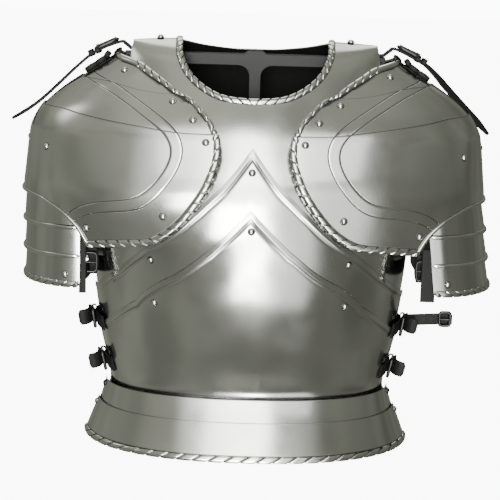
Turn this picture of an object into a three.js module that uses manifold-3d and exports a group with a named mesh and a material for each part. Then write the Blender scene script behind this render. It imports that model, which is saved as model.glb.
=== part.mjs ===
// A steel half armour on a plain stand: cuirass, fauld, two laminated pauldrons with arm lames,
// and the leather straps that hold them. Millimetres, +Z up, the chest faces -Y, +X is the viewer's right.
// Each plate is a wall laid over a body surface. A body is a stack of rounded sections, and a place on it
// is [turn, rise]: turn 0 is the front centre, a right angle is the side, rise counts the section rows.
import * as THREE from 'three';
import { mergeVertices } from 'three/addons/utils/BufferGeometryUtils.js';
import Module from 'manifold-3d';

const wasm = await Module();
wasm.setup();

// Driving dimensions of the plates
const steelWall = 1.5;
const plateGap = 0.5;
const weldDistance = 0.05;
const rolledEdge = { width: 8.5, height: 2.6 };
const lameBead = { width: 5.5, height: 1.8 };
const beadStations = [{ along: 0, height: 0.35 }, { along: 0.4, height: 1 }, { along: 0.8, height: 0.75 }];

// Driving dimensions of the torso
const torsoHeight = 520;
const chestHalfWidth = 203;
const chestDepth = 161;
const backDepth = 131;
const shoulderDrop = 6;
const shoulderHalfWidth = 154;
const neckHalfWidth = 92;
const neckDrop = 70;
const backNeckDrop = 14;
const upperChevronEnds = { peakDrop: 126, side: 204 };
const lowerChevronEnds = { peakDrop: 196, side: 152 };
const plateOverlap = 34;
const lipHeight = 0.8;
const chevronLip = 5;
const frontEdgeTurn = 84 * Math.PI / 180;
const faceEdgeTurn = 86 * Math.PI / 180;
const armholeFoot = 285;

// Driving dimensions of the fauld and the skirt of the backplate
const fauldTop = 76;
const lowerLameTop = 51;
const rimHeight = 5;
const fauldClearance = { side: 0.769, front: 0.429 };
const rimHalfWidth = 212;
const rimDepth = 139;
const skirtDepth = 128;
const fauldLap = 16;
const fauldPivot = { depth: 20, height: 69 };
const pivotRivet = { shank: 4.4, head: 9, headHeight: 2.2, sides: 8, clearance: 0.3 };

// Driving dimensions of the pauldrons
const pauldronHalfWidth = 290;
const pauldronDepth = 158;
const pauldronDrop = 12;
const pauldronHang = 3;
const borderBand = 58;

// Driving dimensions of the arm lames
const armCentre = 213;
const armHalfWidth = 81.3;
const armHalfDepth = 92;
const armLames = [{ name: 'upper', hang: 41 }, { name: 'middle', hang: 77 }, { name: 'lower', hang: 114 }];
const armLameLength = 52;
const armLameTaper = 3.4;
const armFlare = { left: 0, right: 0.12 };

// Driving dimensions of the leather, the buckles and the stand
const leatherThickness = 2.4;
const pieceGap = 0.4;
const shoulderStrapWidth = 18;
const chapeThickness = 5;
const chapeGap = 0.8;
const sideStrapWidth = 20;
const sideStrapHeights = { upper: 160, lower: 103 };
const armStrapWidth = 22;
const armStrapHang = 93;
const armStrapBow = { ends: 10, corners: -8, middle: -9, cornerInset: 6 };
const strapSeatShare = 0.85;
const tailLength = 46;
const buckleBar = 3.5;
const shoulderBuckle = { length: 32, width: 30 };
const sideBuckle = { length: 24, width: 28 };
const studDiameter = 9;
const studHeight = 4;
const studAcross = 120;
const postWidth = 15;
const standThickness = 14;
const barDrop = 20;
const barHeight = 15;
const barHalfLength = 164;
const saddle = { across: 118, halfWidth: 16, gap: 2.1 };
const filletSize = 14;
const baseThickness = 4;
const baseWidth = 240;
const baseDepth = 180;

const steel = { color: 0xb9bab4, roughness: 0.28, metalness: 1 };
const leather = { color: 0x14130f, roughness: 0.6, metalness: 0 };
const darkIron = { color: 0x1b1b1b, roughness: 0.45, metalness: 0.7 };
const standPaint = { color: 0x2a2b2c, roughness: 0.55, metalness: 0.2 };

const model = new THREE.Group();

// Heights that follow from others
const pauldronTop = torsoHeight - pauldronDrop;
const barTop = torsoHeight - barDrop;
const upperChevronPeak = torsoHeight - upperChevronEnds.peakDrop;
const upperChevronFall = upperChevronPeak - upperChevronEnds.side;
const lowerChevronPeak = torsoHeight - lowerChevronEnds.peakDrop;
const lowerChevronFall = lowerChevronPeak - lowerChevronEnds.side;

// Section rows as shares: up of torsoHeight, width of chestHalfWidth, front of chestDepth, back of backDepth
const torsoRows = [
  { up: 0.119, width: 0.877, front: 0.611, back: 0.725 },
  { up: 0.165, width: 0.867, front: 0.596, back: 0.687 },
  { up: 0.285, width: 0.931, front: 0.770, back: 0.794 },
  { up: 0.423, width: 0.980, front: 0.925, back: 0.901 },
  { up: 0.548, width: 1.000, front: 1.000, back: 0.969 },
  { up: 0.673, width: 0.985, front: 0.940, back: 1.000 },
  { up: 0.769, width: 0.936, front: 0.783, back: 0.870 },
  { up: 0.865, width: 0.867, front: 0.559, back: 0.660 },
  { up: 0.937, width: 0.828, front: 0.373, back: 0.460 },
  { up: 0.973, width: 0.808, front: 0.230, back: 0.300 },
  { up: 0.992, width: 0.793, front: 0.106, back: 0.140 },
  { up: 1.000, width: 0.788, front: 0.000, back: 0.000 },
];
// Neckline rows: across of neckHalfWidth, down of neckDrop
const neckRows = [
  { across: 0.00, down: 1.00 }, { across: 0.33, down: 0.97 }, { across: 0.53, down: 0.89 },
  { across: 0.73, down: 0.73 }, { across: 0.87, down: 0.54 }, { across: 0.94, down: 0.36 },
  { across: 0.98, down: 0.19 }, { across: 1.00, down: 0.00 },
];
// Back neckline rows: across of neckHalfWidth, down of backNeckDrop
const backNeckRows = [
  { across: 0.00, down: 1.00 }, { across: 0.35, down: 0.95 }, { across: 0.72, down: 0.62 },
  { across: 0.92, down: 0.28 }, { across: 1.00, down: 0.00 },
];
// Chevron rows: across of chestHalfWidth, down of the chevron's own fall
const upperChevronRows = [
  { across: 0.00, down: 0.00 }, { across: 0.15, down: 0.20 }, { across: 0.30, down: 0.36 },
  { across: 0.48, down: 0.535 }, { across: 0.63, down: 0.655 }, { across: 0.78, down: 0.80 },
  { across: 1.00, down: 1.00 },
];
const lowerChevronRows = [
  { across: 0.00, down: 0.00 }, { across: 0.12, down: 0.145 }, { across: 0.23, down: 0.275 },
  { across: 0.41, down: 0.445 }, { across: 0.56, down: 0.555 }, { across: 0.69, down: 0.70 },
  { across: 1.00, down: 1.00 },
];
// Armhole rows from the side edge to the shoulder end: turn of the plate's own side edge, up from foot to top
const armholeRows = [
  { turn: 0.95, up: 0.115 }, { turn: 0.88, up: 0.255 }, { turn: 0.80, up: 0.425 },
  { turn: 0.75, up: 0.595 }, { turn: 0.76, up: 0.765 }, { turn: 0.82, up: 0.915 },
];
// Shares of the neckline that face the plate's lower edge, and its lower and side edges together
const fanShares = { bottom: 0.35, side: 0.5 };
// Pauldron section rows: up of pauldronTop, width of pauldronHalfWidth, front of pauldronDepth
const pauldronRows = [
  { up: 0.400, width: 1.000, front: 0.940 },
  { up: 0.530, width: 1.000, front: 0.975 },
  { up: 0.640, width: 1.000, front: 1.000 },
  { up: 0.703, width: 0.990, front: 0.965 },
  { up: 0.777, width: 0.976, front: 0.870 },
  { up: 0.809, width: 0.962, front: 0.815 },
  { up: 0.848, width: 0.920, front: 0.725 },
  { up: 0.886, width: 0.848, front: 0.620 },
  { up: 0.919, width: 0.766, front: 0.532 },
  { up: 0.951, width: 0.683, front: 0.430 },
  { up: 1.000, width: 0.566, front: 0.234 },
  { up: 1.040, width: 0.470, front: 0.080 },
];
// Inner edge rows of the pauldron from its crest down: across of pauldronHalfWidth, up of pauldronTop
const innerEdgeRows = [
  { across: 0.586, up: 0.990 }, { across: 0.517, up: 0.964 }, { across: 0.445, up: 0.943 },
  { across: 0.366, up: 0.917 }, { across: 0.297, up: 0.891 }, { across: 0.255, up: 0.880 },
  { across: 0.210, up: 0.856 }, { across: 0.174, up: 0.834 }, { across: 0.147, up: 0.804 },
  { across: 0.138, up: 0.764 }, { across: 0.159, up: 0.713 }, { across: 0.207, up: 0.659 },
  { across: 0.269, up: 0.612 }, { across: 0.341, up: 0.573 }, { across: 0.421, up: 0.548 },
  { across: 0.517, up: 0.541 }, { across: 0.607, up: 0.536 }, { across: 0.679, up: 0.531 },
];
const crestCorner = 4;
const waistCorner = 8;
// Lame line rows from the inner edge to the shoulder ridge: share of the turn, up of pauldronTop
const crestLineRows = [
  { share: 0.00, up: 0.891 }, { share: 0.10, up: 0.891 }, { share: 0.20, up: 0.896 },
  { share: 0.42, up: 0.911 }, { share: 0.60, up: 0.916 }, { share: 1.00, up: 0.919 },
];
const waistLineRows = [
  { share: 0.00, up: 0.804 }, { share: 0.10, up: 0.805 }, { share: 0.20, up: 0.813 },
  { share: 0.38, up: 0.827 }, { share: 0.50, up: 0.836 }, { share: 0.65, up: 0.845 },
  { share: 1.00, up: 0.848 },
];
const footLineRows = [
  { share: 0.00, up: 0.531 }, { share: 0.05, up: 0.561 }, { share: 0.10, up: 0.583 },
  { share: 0.22, up: 0.612 }, { share: 0.35, up: 0.628 }, { share: 0.50, up: 0.638 },
  { share: 1.00, up: 0.640 },
];
const armPivotHeight = footLineRows[footLineRows.length - 1].up * pauldronTop;
// Stations of a pauldron lame outward from its inner edge, and along the inner edge of each lame
const bandShares = [0.55, 1];
const ridgeShares = [0.25, 0.5, 0.75, 1];
const middleTicks = [0, 0.25, 0.5, 0.75, 0.95, 1];
const shellTicks = [0, 0.05, 0.14, 0.24, 0.35, 0.46, 0.57, 0.68, 0.8, 0.91, 1];
// Shoulder strap rows under and over the steel shoulder end: out from its edge, down from torsoHeight
const strapRootRows = [{ out: -2.4, down: 18 }, { out: 5, down: 17.4 }, { out: 12, down: 12.2 }];
// Shoulder strap rows over the pauldron: in from pauldronHalfWidth, down from pauldronTop
const strapRunRows = [
  { inward: 116, down: -2.4 }, { inward: 87, down: 11 }, { inward: 65, down: 27 }, { inward: 41, down: 49 },
  { inward: 16, down: 70 }, { inward: -2, down: 86 }, { inward: -22, down: 102 },
];
const strapRows = [
  ...strapRootRows.map(({ out, down }) => [shoulderHalfWidth + out, torsoHeight - down]),
  ...strapRunRows.map(({ inward, down }) => [pauldronHalfWidth - inward, pauldronTop - down]),
];
const chapeDrops = [20, 28, 37];
const chapeInward = 100;

/** Blends the four rows around a place, so that a smooth curve passes through every row. */
function throughRows(values, place) {
  const last = values.length - 1;
  const i = Math.max(0, Math.min(last - 1, Math.floor(place)));
  const t = place - i;
  const before = i > 0 ? values[i - 1] : 2 * values[0] - values[1];
  const after = i < last - 1 ? values[i + 2] : 2 * values[last] - values[last - 1];
  const [a, b] = [values[i], values[i + 1]];
  return b * t + a * (1 - t) + t * (1 - t) * ((1 - t) * (2 * a - before - b) + t * (2 * b - a - after)) / 2;
}

/** A body made of rounded sections. Above its last row it runs over the top to the back. */
class Body {
  constructor(rows, roundness, drop = 0) {
    this.heights = rows.map((row) => row.height);
    this.widths = rows.map((row) => row.width);
    this.fronts = rows.map((row) => row.front);
    this.backs = rows.map((row) => row.back);
    this.power = 2 / roundness;
    this.top = rows.length - 1;
    this.drop = drop;
  }

  point([turn, rise]) {
    const over = rise > this.top;
    const place = over ? 2 * this.top - rise : rise;
    const width = throughRows(this.widths, place);
    const x = width * Math.sign(Math.sin(turn)) * Math.abs(Math.sin(turn)) ** this.power;
    const bulge = Math.abs(Math.cos(turn)) ** this.power;
    const behind = over || Math.cos(turn) < 0;
    const y = behind ? throughRows(this.backs, place) * bulge : -throughRows(this.fronts, place) * bulge;
    const nearTop = Math.max(0, 1 - (this.top - place) / 4);
    const slope = this.drop * nearTop * (x / this.widths[this.top]) ** 2;
    return new THREE.Vector3(x, y, throughRows(this.heights, place) - slope);
  }

  normal([turn, rise]) {
    const step = 0.004;
    const sideways = this.point([turn + step, rise]).sub(this.point([turn - step, rise]));
    const low = Math.max(0, rise - step);
    const upward = this.point([turn, rise + step]).sub(this.point([turn, low]));
    return sideways.cross(upward).normalize();
  }

  riseAt(height) {
    let [low, high] = [0, this.top];
    for (let i = 0; i < 40; i += 1) {
      const middle = (low + high) / 2;
      if (throughRows(this.heights, middle) < height) low = middle; else high = middle;
    }
    return (low + high) / 2;
  }

  placeAt(x, height) {
    const rise = this.riseAt(height);
    const share = Math.min(1, Math.abs(x) / throughRows(this.widths, rise));
    return [Math.asin(share ** (1 / this.power)), rise];
  }
}

const mix = (a, b, t) => a.map((value, i) => value * (1 - t) + b[i] * t);
const shares = (count) => Array.from({ length: count + 1 }, (unused, i) => i / count);

/** Points at the given shares of a curve's length on a body, from a list of places that it passes. */
function along(body, places, wanted) {
  const fine = 8 * (places.length - 1);
  const track = shares(fine).map((t) => {
    const place = t * (places.length - 1);
    return [0, 1].map((axis) => throughRows(places.map((p) => p[axis]), place));
  });
  const lengths = [0];
  for (let i = 1; i <= fine; i += 1) {
    lengths.push(lengths[i - 1] + body.point(track[i]).distanceTo(body.point(track[i - 1])));
  }
  return wanted.map((share) => {
    const goal = share * lengths[fine];
    let i = 1;
    while (i < fine && lengths[i] < goal) i += 1;
    return mix(track[i - 1], track[i], (goal - lengths[i - 1]) / (lengths[i] - lengths[i - 1]));
  });
}

/** The length of a curve on a body. */
function lengthOf(body, places) {
  return places.slice(1).reduce((sum, p, i) => sum + body.point(p).distanceTo(body.point(places[i])), 0);
}

/** Moves a curve sideways over a body by a distance, square to the curve, in steps of a few millimetres. */
function march(body, curve, distance, side) {
  const steps = Math.max(1, Math.ceil(distance / 6));
  let line = curve;
  for (let k = 0; k < steps; k += 1) {
    const points = line.map((q) => body.point(q));
    line = line.map((q, i) => {
      const tangent = points[Math.min(i + 1, points.length - 1)].clone().sub(points[Math.max(i - 1, 0)]);
      const across = body.normal(q).cross(tangent.normalize()).multiplyScalar(side * distance / steps);
      const e = 0.003;
      const du = body.point([q[0] + e, q[1]]).sub(points[i]).divideScalar(e);
      const dv = body.point([q[0], q[1] + e]).sub(points[i]).divideScalar(e);
      const [uu, uv, vv] = [du.dot(du), du.dot(dv), dv.dot(dv)];
      const [ru, rv] = [du.dot(across), dv.dot(across)];
      const scale = 1 / (uu * vv - uv * uv);
      return [q[0] + (vv * ru - uv * rv) * scale, q[1] + (uu * rv - uv * ru) * scale];
    });
  }
  return line;
}

/** A vertex of a plate: its place on the body, and how far its outer face stands proud of the wall. */
function vertex(body, place, raise = 0, lift = 0) {
  const normal = body.normal(place);
  return { point: body.point(place).addScaledVector(normal, lift), normal, raise };
}

/** The same vertex on the other side of the plane where one axis is zero. */
function mirrored({ point, normal, raise }, axis) {
  const flip = axis === 'x' ? new THREE.Vector3(-1, 1, 1) : new THREE.Vector3(1, -1, 1);
  return { point: point.clone().multiply(flip), normal: normal.clone().multiply(flip), raise };
}

const mirrorGrid = (grid, axis) => grid.map((row) => row.map((v) => mirrored(v, axis)));

/** A closed wall over grids of vertices that share their borders. */
function wallGeometry(grids, wall, layer) {
  const seeds = [];
  const outer = [];
  const inner = [];
  const faces = [];
  const find = (v) => {
    const known = seeds.findIndex((seed) => seed.distanceTo(v.point) < weldDistance);
    if (known >= 0) return known;
    outer.push(v.point.clone().addScaledVector(v.normal, layer + v.raise));
    inner.push(v.point.clone().addScaledVector(v.normal, layer - wall));
    return seeds.push(v.point) - 1;
  };
  const addFace = (a, b, c, normal) => {
    if (a === b || b === c || c === a) return;
    const cross = outer[b].clone().sub(outer[a]).cross(outer[c].clone().sub(outer[a]));
    faces.push(cross.dot(normal) > 0 ? [a, b, c] : [a, c, b]);
  };
  for (const grid of grids) {
    for (let i = 0; i + 1 < grid.length; i += 1) {
      for (let j = 0; j + 1 < grid[i].length; j += 1) {
        const [a, b, c, d] = [grid[i][j], grid[i + 1][j], grid[i + 1][j + 1], grid[i][j + 1]];
        const normal = a.normal.clone().add(b.normal).add(c.normal).add(d.normal);
        const [ia, ib, ic, id] = [a, b, c, d].map(find);
        addFace(ia, ib, ic, normal);
        addFace(ia, ic, id, normal);
      }
    }
  }
  const edges = new Set(faces.flatMap(([a, b, c]) => [`${a},${b}`, `${b},${c}`, `${c},${a}`]));
  const shift = outer.length;
  const all = faces.flatMap(([a, b, c]) => [a, b, c, a + shift, c + shift, b + shift]);
  for (const edge of edges) {
    const [a, b] = edge.split(',').map(Number);
    if (!edges.has(`${b},${a}`)) all.push(b, a, a + shift, b, a + shift, b + shift);
  }
  const geometry = new THREE.BufferGeometry();
  const positions = [...outer, ...inner].flatMap((p) => p.toArray());
  geometry.setAttribute('position', new THREE.Float32BufferAttribute(positions, 3));
  geometry.setIndex(all);
  geometry.computeVertexNormals();
  return geometry;
}

/** Adds one named piece to the model. */
function addPiece(name, geometry, finish, matrix) {
  const mesh = new THREE.Mesh(geometry, new THREE.MeshStandardMaterial(finish));
  mesh.name = name;
  if (matrix) mesh.applyMatrix4(matrix);
  model.add(mesh);
  return mesh;
}

const addPlate = (name, grids, layer = 0) => addPiece(name, wallGeometry(grids, steelWall, layer), steel);
const layerStep = steelWall + plateGap;

// The torso bodies

const scaleTorso = (row) => ({
  height: row.up * torsoHeight,
  width: row.width * chestHalfWidth,
  front: row.front * chestDepth,
  back: row.back * backDepth,
});
const torso = new Body(torsoRows.map(scaleTorso), 2.3, shoulderDrop);
const skirtRows = [
  { height: rimHeight, width: rimHalfWidth, front: rimDepth, back: skirtDepth },
  { height: lowerLameTop, width: 0.915 * rimHalfWidth, front: rimDepth, back: 0.835 * skirtDepth },
];
const backRows = [...skirtRows, ...torsoRows.slice(1).map(scaleTorso)];
const backBody = new Body(backRows, 2.3, shoulderDrop);
const rim = { width: rimHalfWidth, front: rimDepth, back: skirtDepth };
const hoopClearance = 2 * layerStep + steelWall;
const hoopTop = {
  width: torsoRows[0].width * chestHalfWidth + hoopClearance + fauldClearance.side,
  depth: torsoRows[0].front * chestDepth + hoopClearance + fauldClearance.front,
};
const fauldUpperBody = new Body([
  { height: lowerLameTop - fauldLap, width: 0.934 * rim.width, front: 0.882 * rim.front, back: rim.back },
  { height: lowerLameTop, width: 0.904 * rim.width, front: 0.838 * rim.front, back: rim.back },
  { height: fauldTop, width: hoopTop.width, front: hoopTop.depth, back: rim.back },
], 2.3);
const lameOffset = (layerStep + 0.3) / 2;
const fauldLowerBody = new Body([
  { height: rimHeight, ...rim },
  {
    height: lowerLameTop,
    width: 0.904 * rim.width + 2 * lameOffset,
    front: 0.838 * rim.front + 2 * lameOffset,
    back: rim.back,
  },
], 2.3);

const turnCount = 10;
const frontTurns = shares(turnCount).map((share) => share * frontEdgeTurn);
const outline = (rows, across, height) => rows.map((row) => [row.across * across, height(row.down)]);

/** The height of a chevron edge on a body's turn, from its rows. */
function chevronHeight(rows, peak, fall, turn) {
  const share = Math.min(1, Math.sin(turn) ** (2 / 2.3));
  let i = 1;
  while (i < rows.length - 1 && rows[i].across < share) i += 1;
  const t = (share - rows[i - 1].across) / (rows[i].across - rows[i - 1].across);
  return peak - fall * throughRows(rows.map((row) => row.down), i - 1 + t);
}

const upperChevron = (turn) => chevronHeight(upperChevronRows, upperChevronPeak, upperChevronFall, turn);
const lowerChevron = (turn) => chevronHeight(lowerChevronRows, lowerChevronPeak, lowerChevronFall, turn);

/** A grid of vertices at the front turns, one row for each height function. */
function turnGrid(body, turns, heights, raises = []) {
  return heights.map((height, i) => turns.map((turn) => {
    const place = [turn, body.riseAt(height(turn))];
    return vertex(body, place, raises[i] ?? 0);
  }));
}

/** The shares of a neckline that face each point of a border of bottom, side and armhole points. */
function fanTicks(bottomCount, sideCount, armholeCount) {
  const { bottom, side } = fanShares;
  return [
    ...shares(bottomCount).map((t) => bottom * t),
    ...shares(sideCount).slice(1).map((t) => bottom + (side - bottom) * t),
    ...shares(armholeCount).slice(1).map((t) => side + (1 - side) * t),
  ];
}

const sideCount = 3;
const armholeCount = armholeRows.length + 1;
const ticks = fanTicks(turnCount, sideCount, armholeCount);

/** A half plate that spreads from a roped neckline to an outer border. */
function spreadFromNeck(body, neck, border, spread) {
  const edge = along(body, neck, ticks);
  const rows = beadStations.map(({ along: share, height }) => {
    const line = share > 0 ? march(body, edge, share * rolledEdge.width, -1) : edge;
    return straightened(line, edge).map((q) => vertex(body, q, height * rolledEdge.height));
  });
  const start = straightened(march(body, edge, rolledEdge.width, -1), edge);
  const rest = spread.map((share) => start.map((q, i) => vertex(body, mix(q, border[i], share))));
  return [...rows, ...rest];
}

/** Keeps a marched neck curve's ends on the centre line and on the shoulder line. */
function straightened(line, edge) {
  const last = line.length - 1;
  return line.map(([turn, rise], i) => [i === 0 ? 0 : turn, i === last ? edge[last][1] : rise]);
}

/** The places of a neckline, an armhole and a shoulder end on the upper part of a body. */
function neckPlaces(body, rows, drop) {
  const places = outline(rows, neckHalfWidth, (down) => torsoHeight - down * drop);
  return places.map(([x, height]) => body.placeAt(x, height));
}

const lapRise = 0.5;
const shoulderTurn = (body, x) => Math.asin((x / body.widths[body.top]) ** (2.3 / 2));

/** The side edge of a half plate, from its foot to the armhole. */
function sidePlaces(body, edgeTurn, foot) {
  return shares(sideCount).slice(1).map((t) => [edgeTurn, body.riseAt(foot + t * (armholeFoot - foot))]);
}

/** The armhole of a half plate and its shoulder's outer corner, at the front or at the back. */
function armholePlaces(body, behind, topRise) {
  const span = torsoHeight - armholeFoot;
  const rows = armholeRows.map((row) => [row.turn * frontEdgeTurn, body.riseAt(armholeFoot + row.up * span)]);
  const places = [...rows, [shoulderTurn(body, shoulderHalfWidth), topRise]];
  return places.map(([turn, rise]) => [behind ? Math.PI - turn : turn, rise]);
}

/** The chest plate: a fan from the roped neckline down to the upper chevron, and a hidden lap below it. */
function addBreastplate() {
  const bottom = frontTurns.map((turn) => [turn, torso.riseAt(upperChevron(turn))]);
  const side = sidePlaces(torso, frontEdgeTurn, upperChevron(frontEdgeTurn));
  const border = [...bottom, ...side, ...armholePlaces(torso, false, torso.top)];
  const neck = neckPlaces(torso, neckRows, neckDrop);
  neck[neck.length - 1][1] = torso.top;
  const fan = spreadFromNeck(torso, neck, border, [0, 0.2, 0.4, 0.6, 0.8, 1]);
  const lap = turnGrid(torso, frontTurns, [0, 0.5, 1].map((t) => (turn) => {
    return upperChevron(turn) - t * plateOverlap;
  }));
  const lapRow = fan.map((row) => row[row.length - 1]);
  const turns = lapRow.map((v) => shoulderTurn(torso, v.point.x));
  const shoulder = [0, 0.25, lapRise].map((over) => turns.map((turn, i) => {
    return vertex(torso, [turn, torso.top + over], lapRow[i].raise);
  }));
  const half = [fan, lap, shoulder];
  addPlate('breastplate', [...half, ...half.map((grid) => mirrorGrid(grid, 'x'))]);
}

/** The plackarts: chevron plates that overlap the plate above them from outside. */
function addPlackarts() {
  const upperRows = [
    (turn) => upperChevron(turn),
    (turn) => upperChevron(turn) - chevronLip,
    (turn) => upperChevron(turn) - plateOverlap / 2,
    (turn) => upperChevron(turn) - plateOverlap,
    (turn) => lowerChevron(turn),
    (turn) => lowerChevron(turn) - plateOverlap / 2,
    (turn) => lowerChevron(turn) - plateOverlap,
  ];
  const lip = [0.6 * lipHeight, lipHeight];
  const upper = turnGrid(torso, frontTurns, upperRows, lip);
  addPlate('plackart_upper', [upper, mirrorGrid(upper, 'x')], layerStep);
  const flange = torsoRows[0].up * torsoHeight;
  const waist = torsoRows[1].up * torsoHeight;
  const below = [0.3, 0.6, 0.85, 1].map((t) => (turn) => {
    return (1 - t) * (lowerChevron(turn) - plateOverlap) + t * waist;
  });
  const lowerRows = [
    (turn) => lowerChevron(turn),
    (turn) => lowerChevron(turn) - chevronLip,
    (turn) => lowerChevron(turn) - plateOverlap / 2,
    (turn) => lowerChevron(turn) - plateOverlap,
    ...below,
    () => (flange + waist) / 2,
    () => flange,
  ];
  const lower = turnGrid(torso, frontTurns, lowerRows, lip);
  addPlate('plackart_lower', [lower, mirrorGrid(lower, 'x')], 2 * layerStep);
}

/** How far inside a seat on the fauld the lower plackart's flange lies. */
function reachToFlange(seat) {
  const layer = 2 * layerStep;
  let [near, far] = [0, 4 * layer];
  for (let i = 0; i < 30; i += 1) {
    const middle = (near + far) / 2;
    const p = seat.point.clone().addScaledVector(seat.normal, -middle);
    const rise = torso.riseAt(p.z);
    const [width, depth] = [torso.widths, torso.fronts].map((rows) => throughRows(rows, rise) + layer);
    const inside = Math.abs(p.x / width) ** (2 / torso.power) + Math.abs(p.y / depth) ** (2 / torso.power) < 1;
    if (inside) far = middle; else near = middle;
  }
  return far;
}

/** The rivet that the fauld swings on, from the flange out through the upper hoop, or the hole for it. */
function pivotPiece(sign, hole) {
  const rise = fauldUpperBody.riseAt(fauldPivot.height);
  const share = fauldPivot.depth / throughRows(fauldUpperBody.fronts, rise);
  const onRight = vertex(fauldUpperBody, [Math.acos(share ** (1 / fauldUpperBody.power)), rise]);
  const seat = sign < 0 ? mirrored(onRight, 'x') : onRight;
  const { shank, head, headHeight, sides, clearance } = pivotRivet;
  const [shankRadius, headRadius] = [shank / 2, head / 2];
  const foot = -reachToFlange(seat) + 2 * clearance;
  const bore = shankRadius + clearance;
  const rivet = [
    [0, foot], [shankRadius, foot], [shankRadius, clearance], [headRadius, clearance],
    [0.7 * headRadius, clearance + 0.8 * headHeight], [0, clearance + headHeight],
  ];
  const passage = [[0, -2 * steelWall], [bore, -2 * steelWall], [bore, steelWall], [0, steelWall]];
  const profile = (hole ? passage : rivet).map(([x, y]) => new THREE.Vector2(x, y));
  const geometry = new THREE.LatheGeometry(profile, sides);
  const turn = new THREE.Quaternion().setFromUnitVectors(new THREE.Vector3(0, 1, 0), seat.normal);
  return geometry.applyMatrix4(new THREE.Matrix4().compose(seat.point, turn, new THREE.Vector3(1, 1, 1)));
}

/** The fauld: two flared hoops, the lower one outside the upper one, with a rolled rim. */
function addFauld() {
  const turns = shares(turnCount).map((share) => share * faceEdgeTurn);
  const upper = turnGrid(fauldUpperBody, turns, [
    () => lowerLameTop - fauldLap, () => lowerLameTop, () => (lowerLameTop + fauldTop) / 2, () => fauldTop,
  ]);
  const hoop = wallGeometry([upper, mirrorGrid(upper, 'x')], steelWall, 0);
  addPiece('fauld_lame_upper', cut(hoop, pivotPiece(-1, true), pivotPiece(1, true)), steel);
  addPiece('fauld_rivet_left', joined(pivotPiece(-1, false)), darkIron);
  addPiece('fauld_rivet_right', joined(pivotPiece(1, false)), darkIron);
  const bead = beadStations.map(({ along: share }) => () => rimHeight + share * rolledEdge.width);
  const raises = beadStations.map(({ height }) => height * rolledEdge.height);
  const lower = turnGrid(fauldLowerBody, turns, [
    ...bead, () => rimHeight + rolledEdge.width, () => lowerLameTop - fauldLap, () => lowerLameTop,
  ], raises);
  addPlate('fauld_lame_lower', [lower, mirrorGrid(lower, 'x')]);
}

/** The backplate: a fan from the low back neckline, a skirt, and laps under the front's shoulder ends. */
function addBackplate() {
  const turns = frontTurns.map((turn) => Math.PI - turn);
  const level = torsoRows[2].up * torsoHeight;
  const waist = torsoRows[1].up * torsoHeight;
  const lapEnd = backBody.top - lapRise;
  const bottom = turns.map((turn) => [turn, backBody.riseAt(level)]);
  const side = sidePlaces(backBody, Math.PI - frontEdgeTurn, level);
  const border = [...bottom, ...side, ...armholePlaces(backBody, true, lapEnd)];
  const neck = neckPlaces(backBody, backNeckRows, backNeckDrop).map(([turn, rise]) => [Math.PI - turn, rise]);
  neck[neck.length - 1][1] = lapEnd;
  const edge = along(backBody, neck, ticks);
  const fan = [0, 0.06, 0.22, 0.4, 0.6, 0.8, 1].map((share) => edge.map((q, i) => {
    return vertex(backBody, mix(q, border[i], share));
  }));
  const skirt = turnGrid(backBody, turns, [
    () => level, () => (level + waist) / 2, () => waist,
    () => fauldTop, () => lowerLameTop, () => (lowerLameTop + rimHeight) / 2, () => rimHeight,
  ]);
  const ends = fan.map((row) => {
    const { x } = row[row.length - 1].point;
    return Math.asin((x / throughRows(backBody.widths, lapEnd)) ** (1 / backBody.power));
  });
  const shoulder = [lapRise, 0.25, 0, -0.2].map((back) => ends.map((turn) => {
    return vertex(backBody, back > 0 ? [Math.PI - turn, backBody.top - back] : [turn, backBody.top + back]);
  }));
  const half = [fan, skirt, shoulder];
  addPlate('backplate', [...half, ...half.map((grid) => mirrorGrid(grid, 'x'))], -layerStep);
}

// The pauldrons

const scalePauldron = (row) => ({
  height: row.up * pauldronTop,
  width: row.width * pauldronHalfWidth,
  front: row.front * pauldronDepth,
  back: row.front * pauldronDepth,
});
const pauldron = new Body(pauldronRows.map(scalePauldron), 2.4);
const ridgeTurn = Math.PI / 2;

/** The places of the pauldron's inner edge between two of its rows. */
function innerEdge(from, to) {
  return innerEdgeRows.slice(from, to + 1).map((row, i) => {
    const place = pauldron.placeAt(row.across * pauldronHalfWidth, row.up * pauldronTop);
    return from + i === 0 ? [ridgeTurn, place[1]] : place;
  });
}

/** A lame line over the pauldron from a corner of its inner edge to the ridge, as a fine track. */
class LameLine {
  constructor(corner, rows) {
    const inner = innerEdge(corner, corner)[0];
    const places = rows.map(({ share, up }) => {
      return [inner[0] + share * (ridgeTurn - inner[0]), pauldron.riseAt(up * pauldronTop)];
    });
    places[0] = inner;
    this.track = along(pauldron, places, shares(120));
    this.total = lengthOf(pauldron, this.track);
  }

  /** The share of the line at which it is a distance away from an edge. */
  shareAway(edge, distance) {
    const points = edge.map((q) => pauldron.point(q));
    const far = this.track.findIndex((q) => {
      const p = pauldron.point(q);
      return points.every((point) => point.distanceTo(p) >= distance);
    });
    return far / (this.track.length - 1);
  }

  at(share) {
    const place = share * (this.track.length - 1);
    const i = Math.min(this.track.length - 2, Math.floor(place));
    return mix(this.track[i], this.track[i + 1], place - i);
  }
}

const crestLine = new LameLine(crestCorner, crestLineRows);
const waistLine = new LameLine(waistCorner, waistLineRows);
const footLine = new LameLine(innerEdgeRows.length - 1, footLineRows);
const bandDistances = [
  ...beadStations.map(({ along: share }) => share * rolledEdge.width),
  rolledEdge.width,
  ...bandShares.map((share) => share * borderBand),
];
const bandRaises = beadStations.map(({ height }) => height * rolledEdge.height);

const wholeEdge = along(pauldron, innerEdge(0, innerEdgeRows.length - 1), shares(150));

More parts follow.
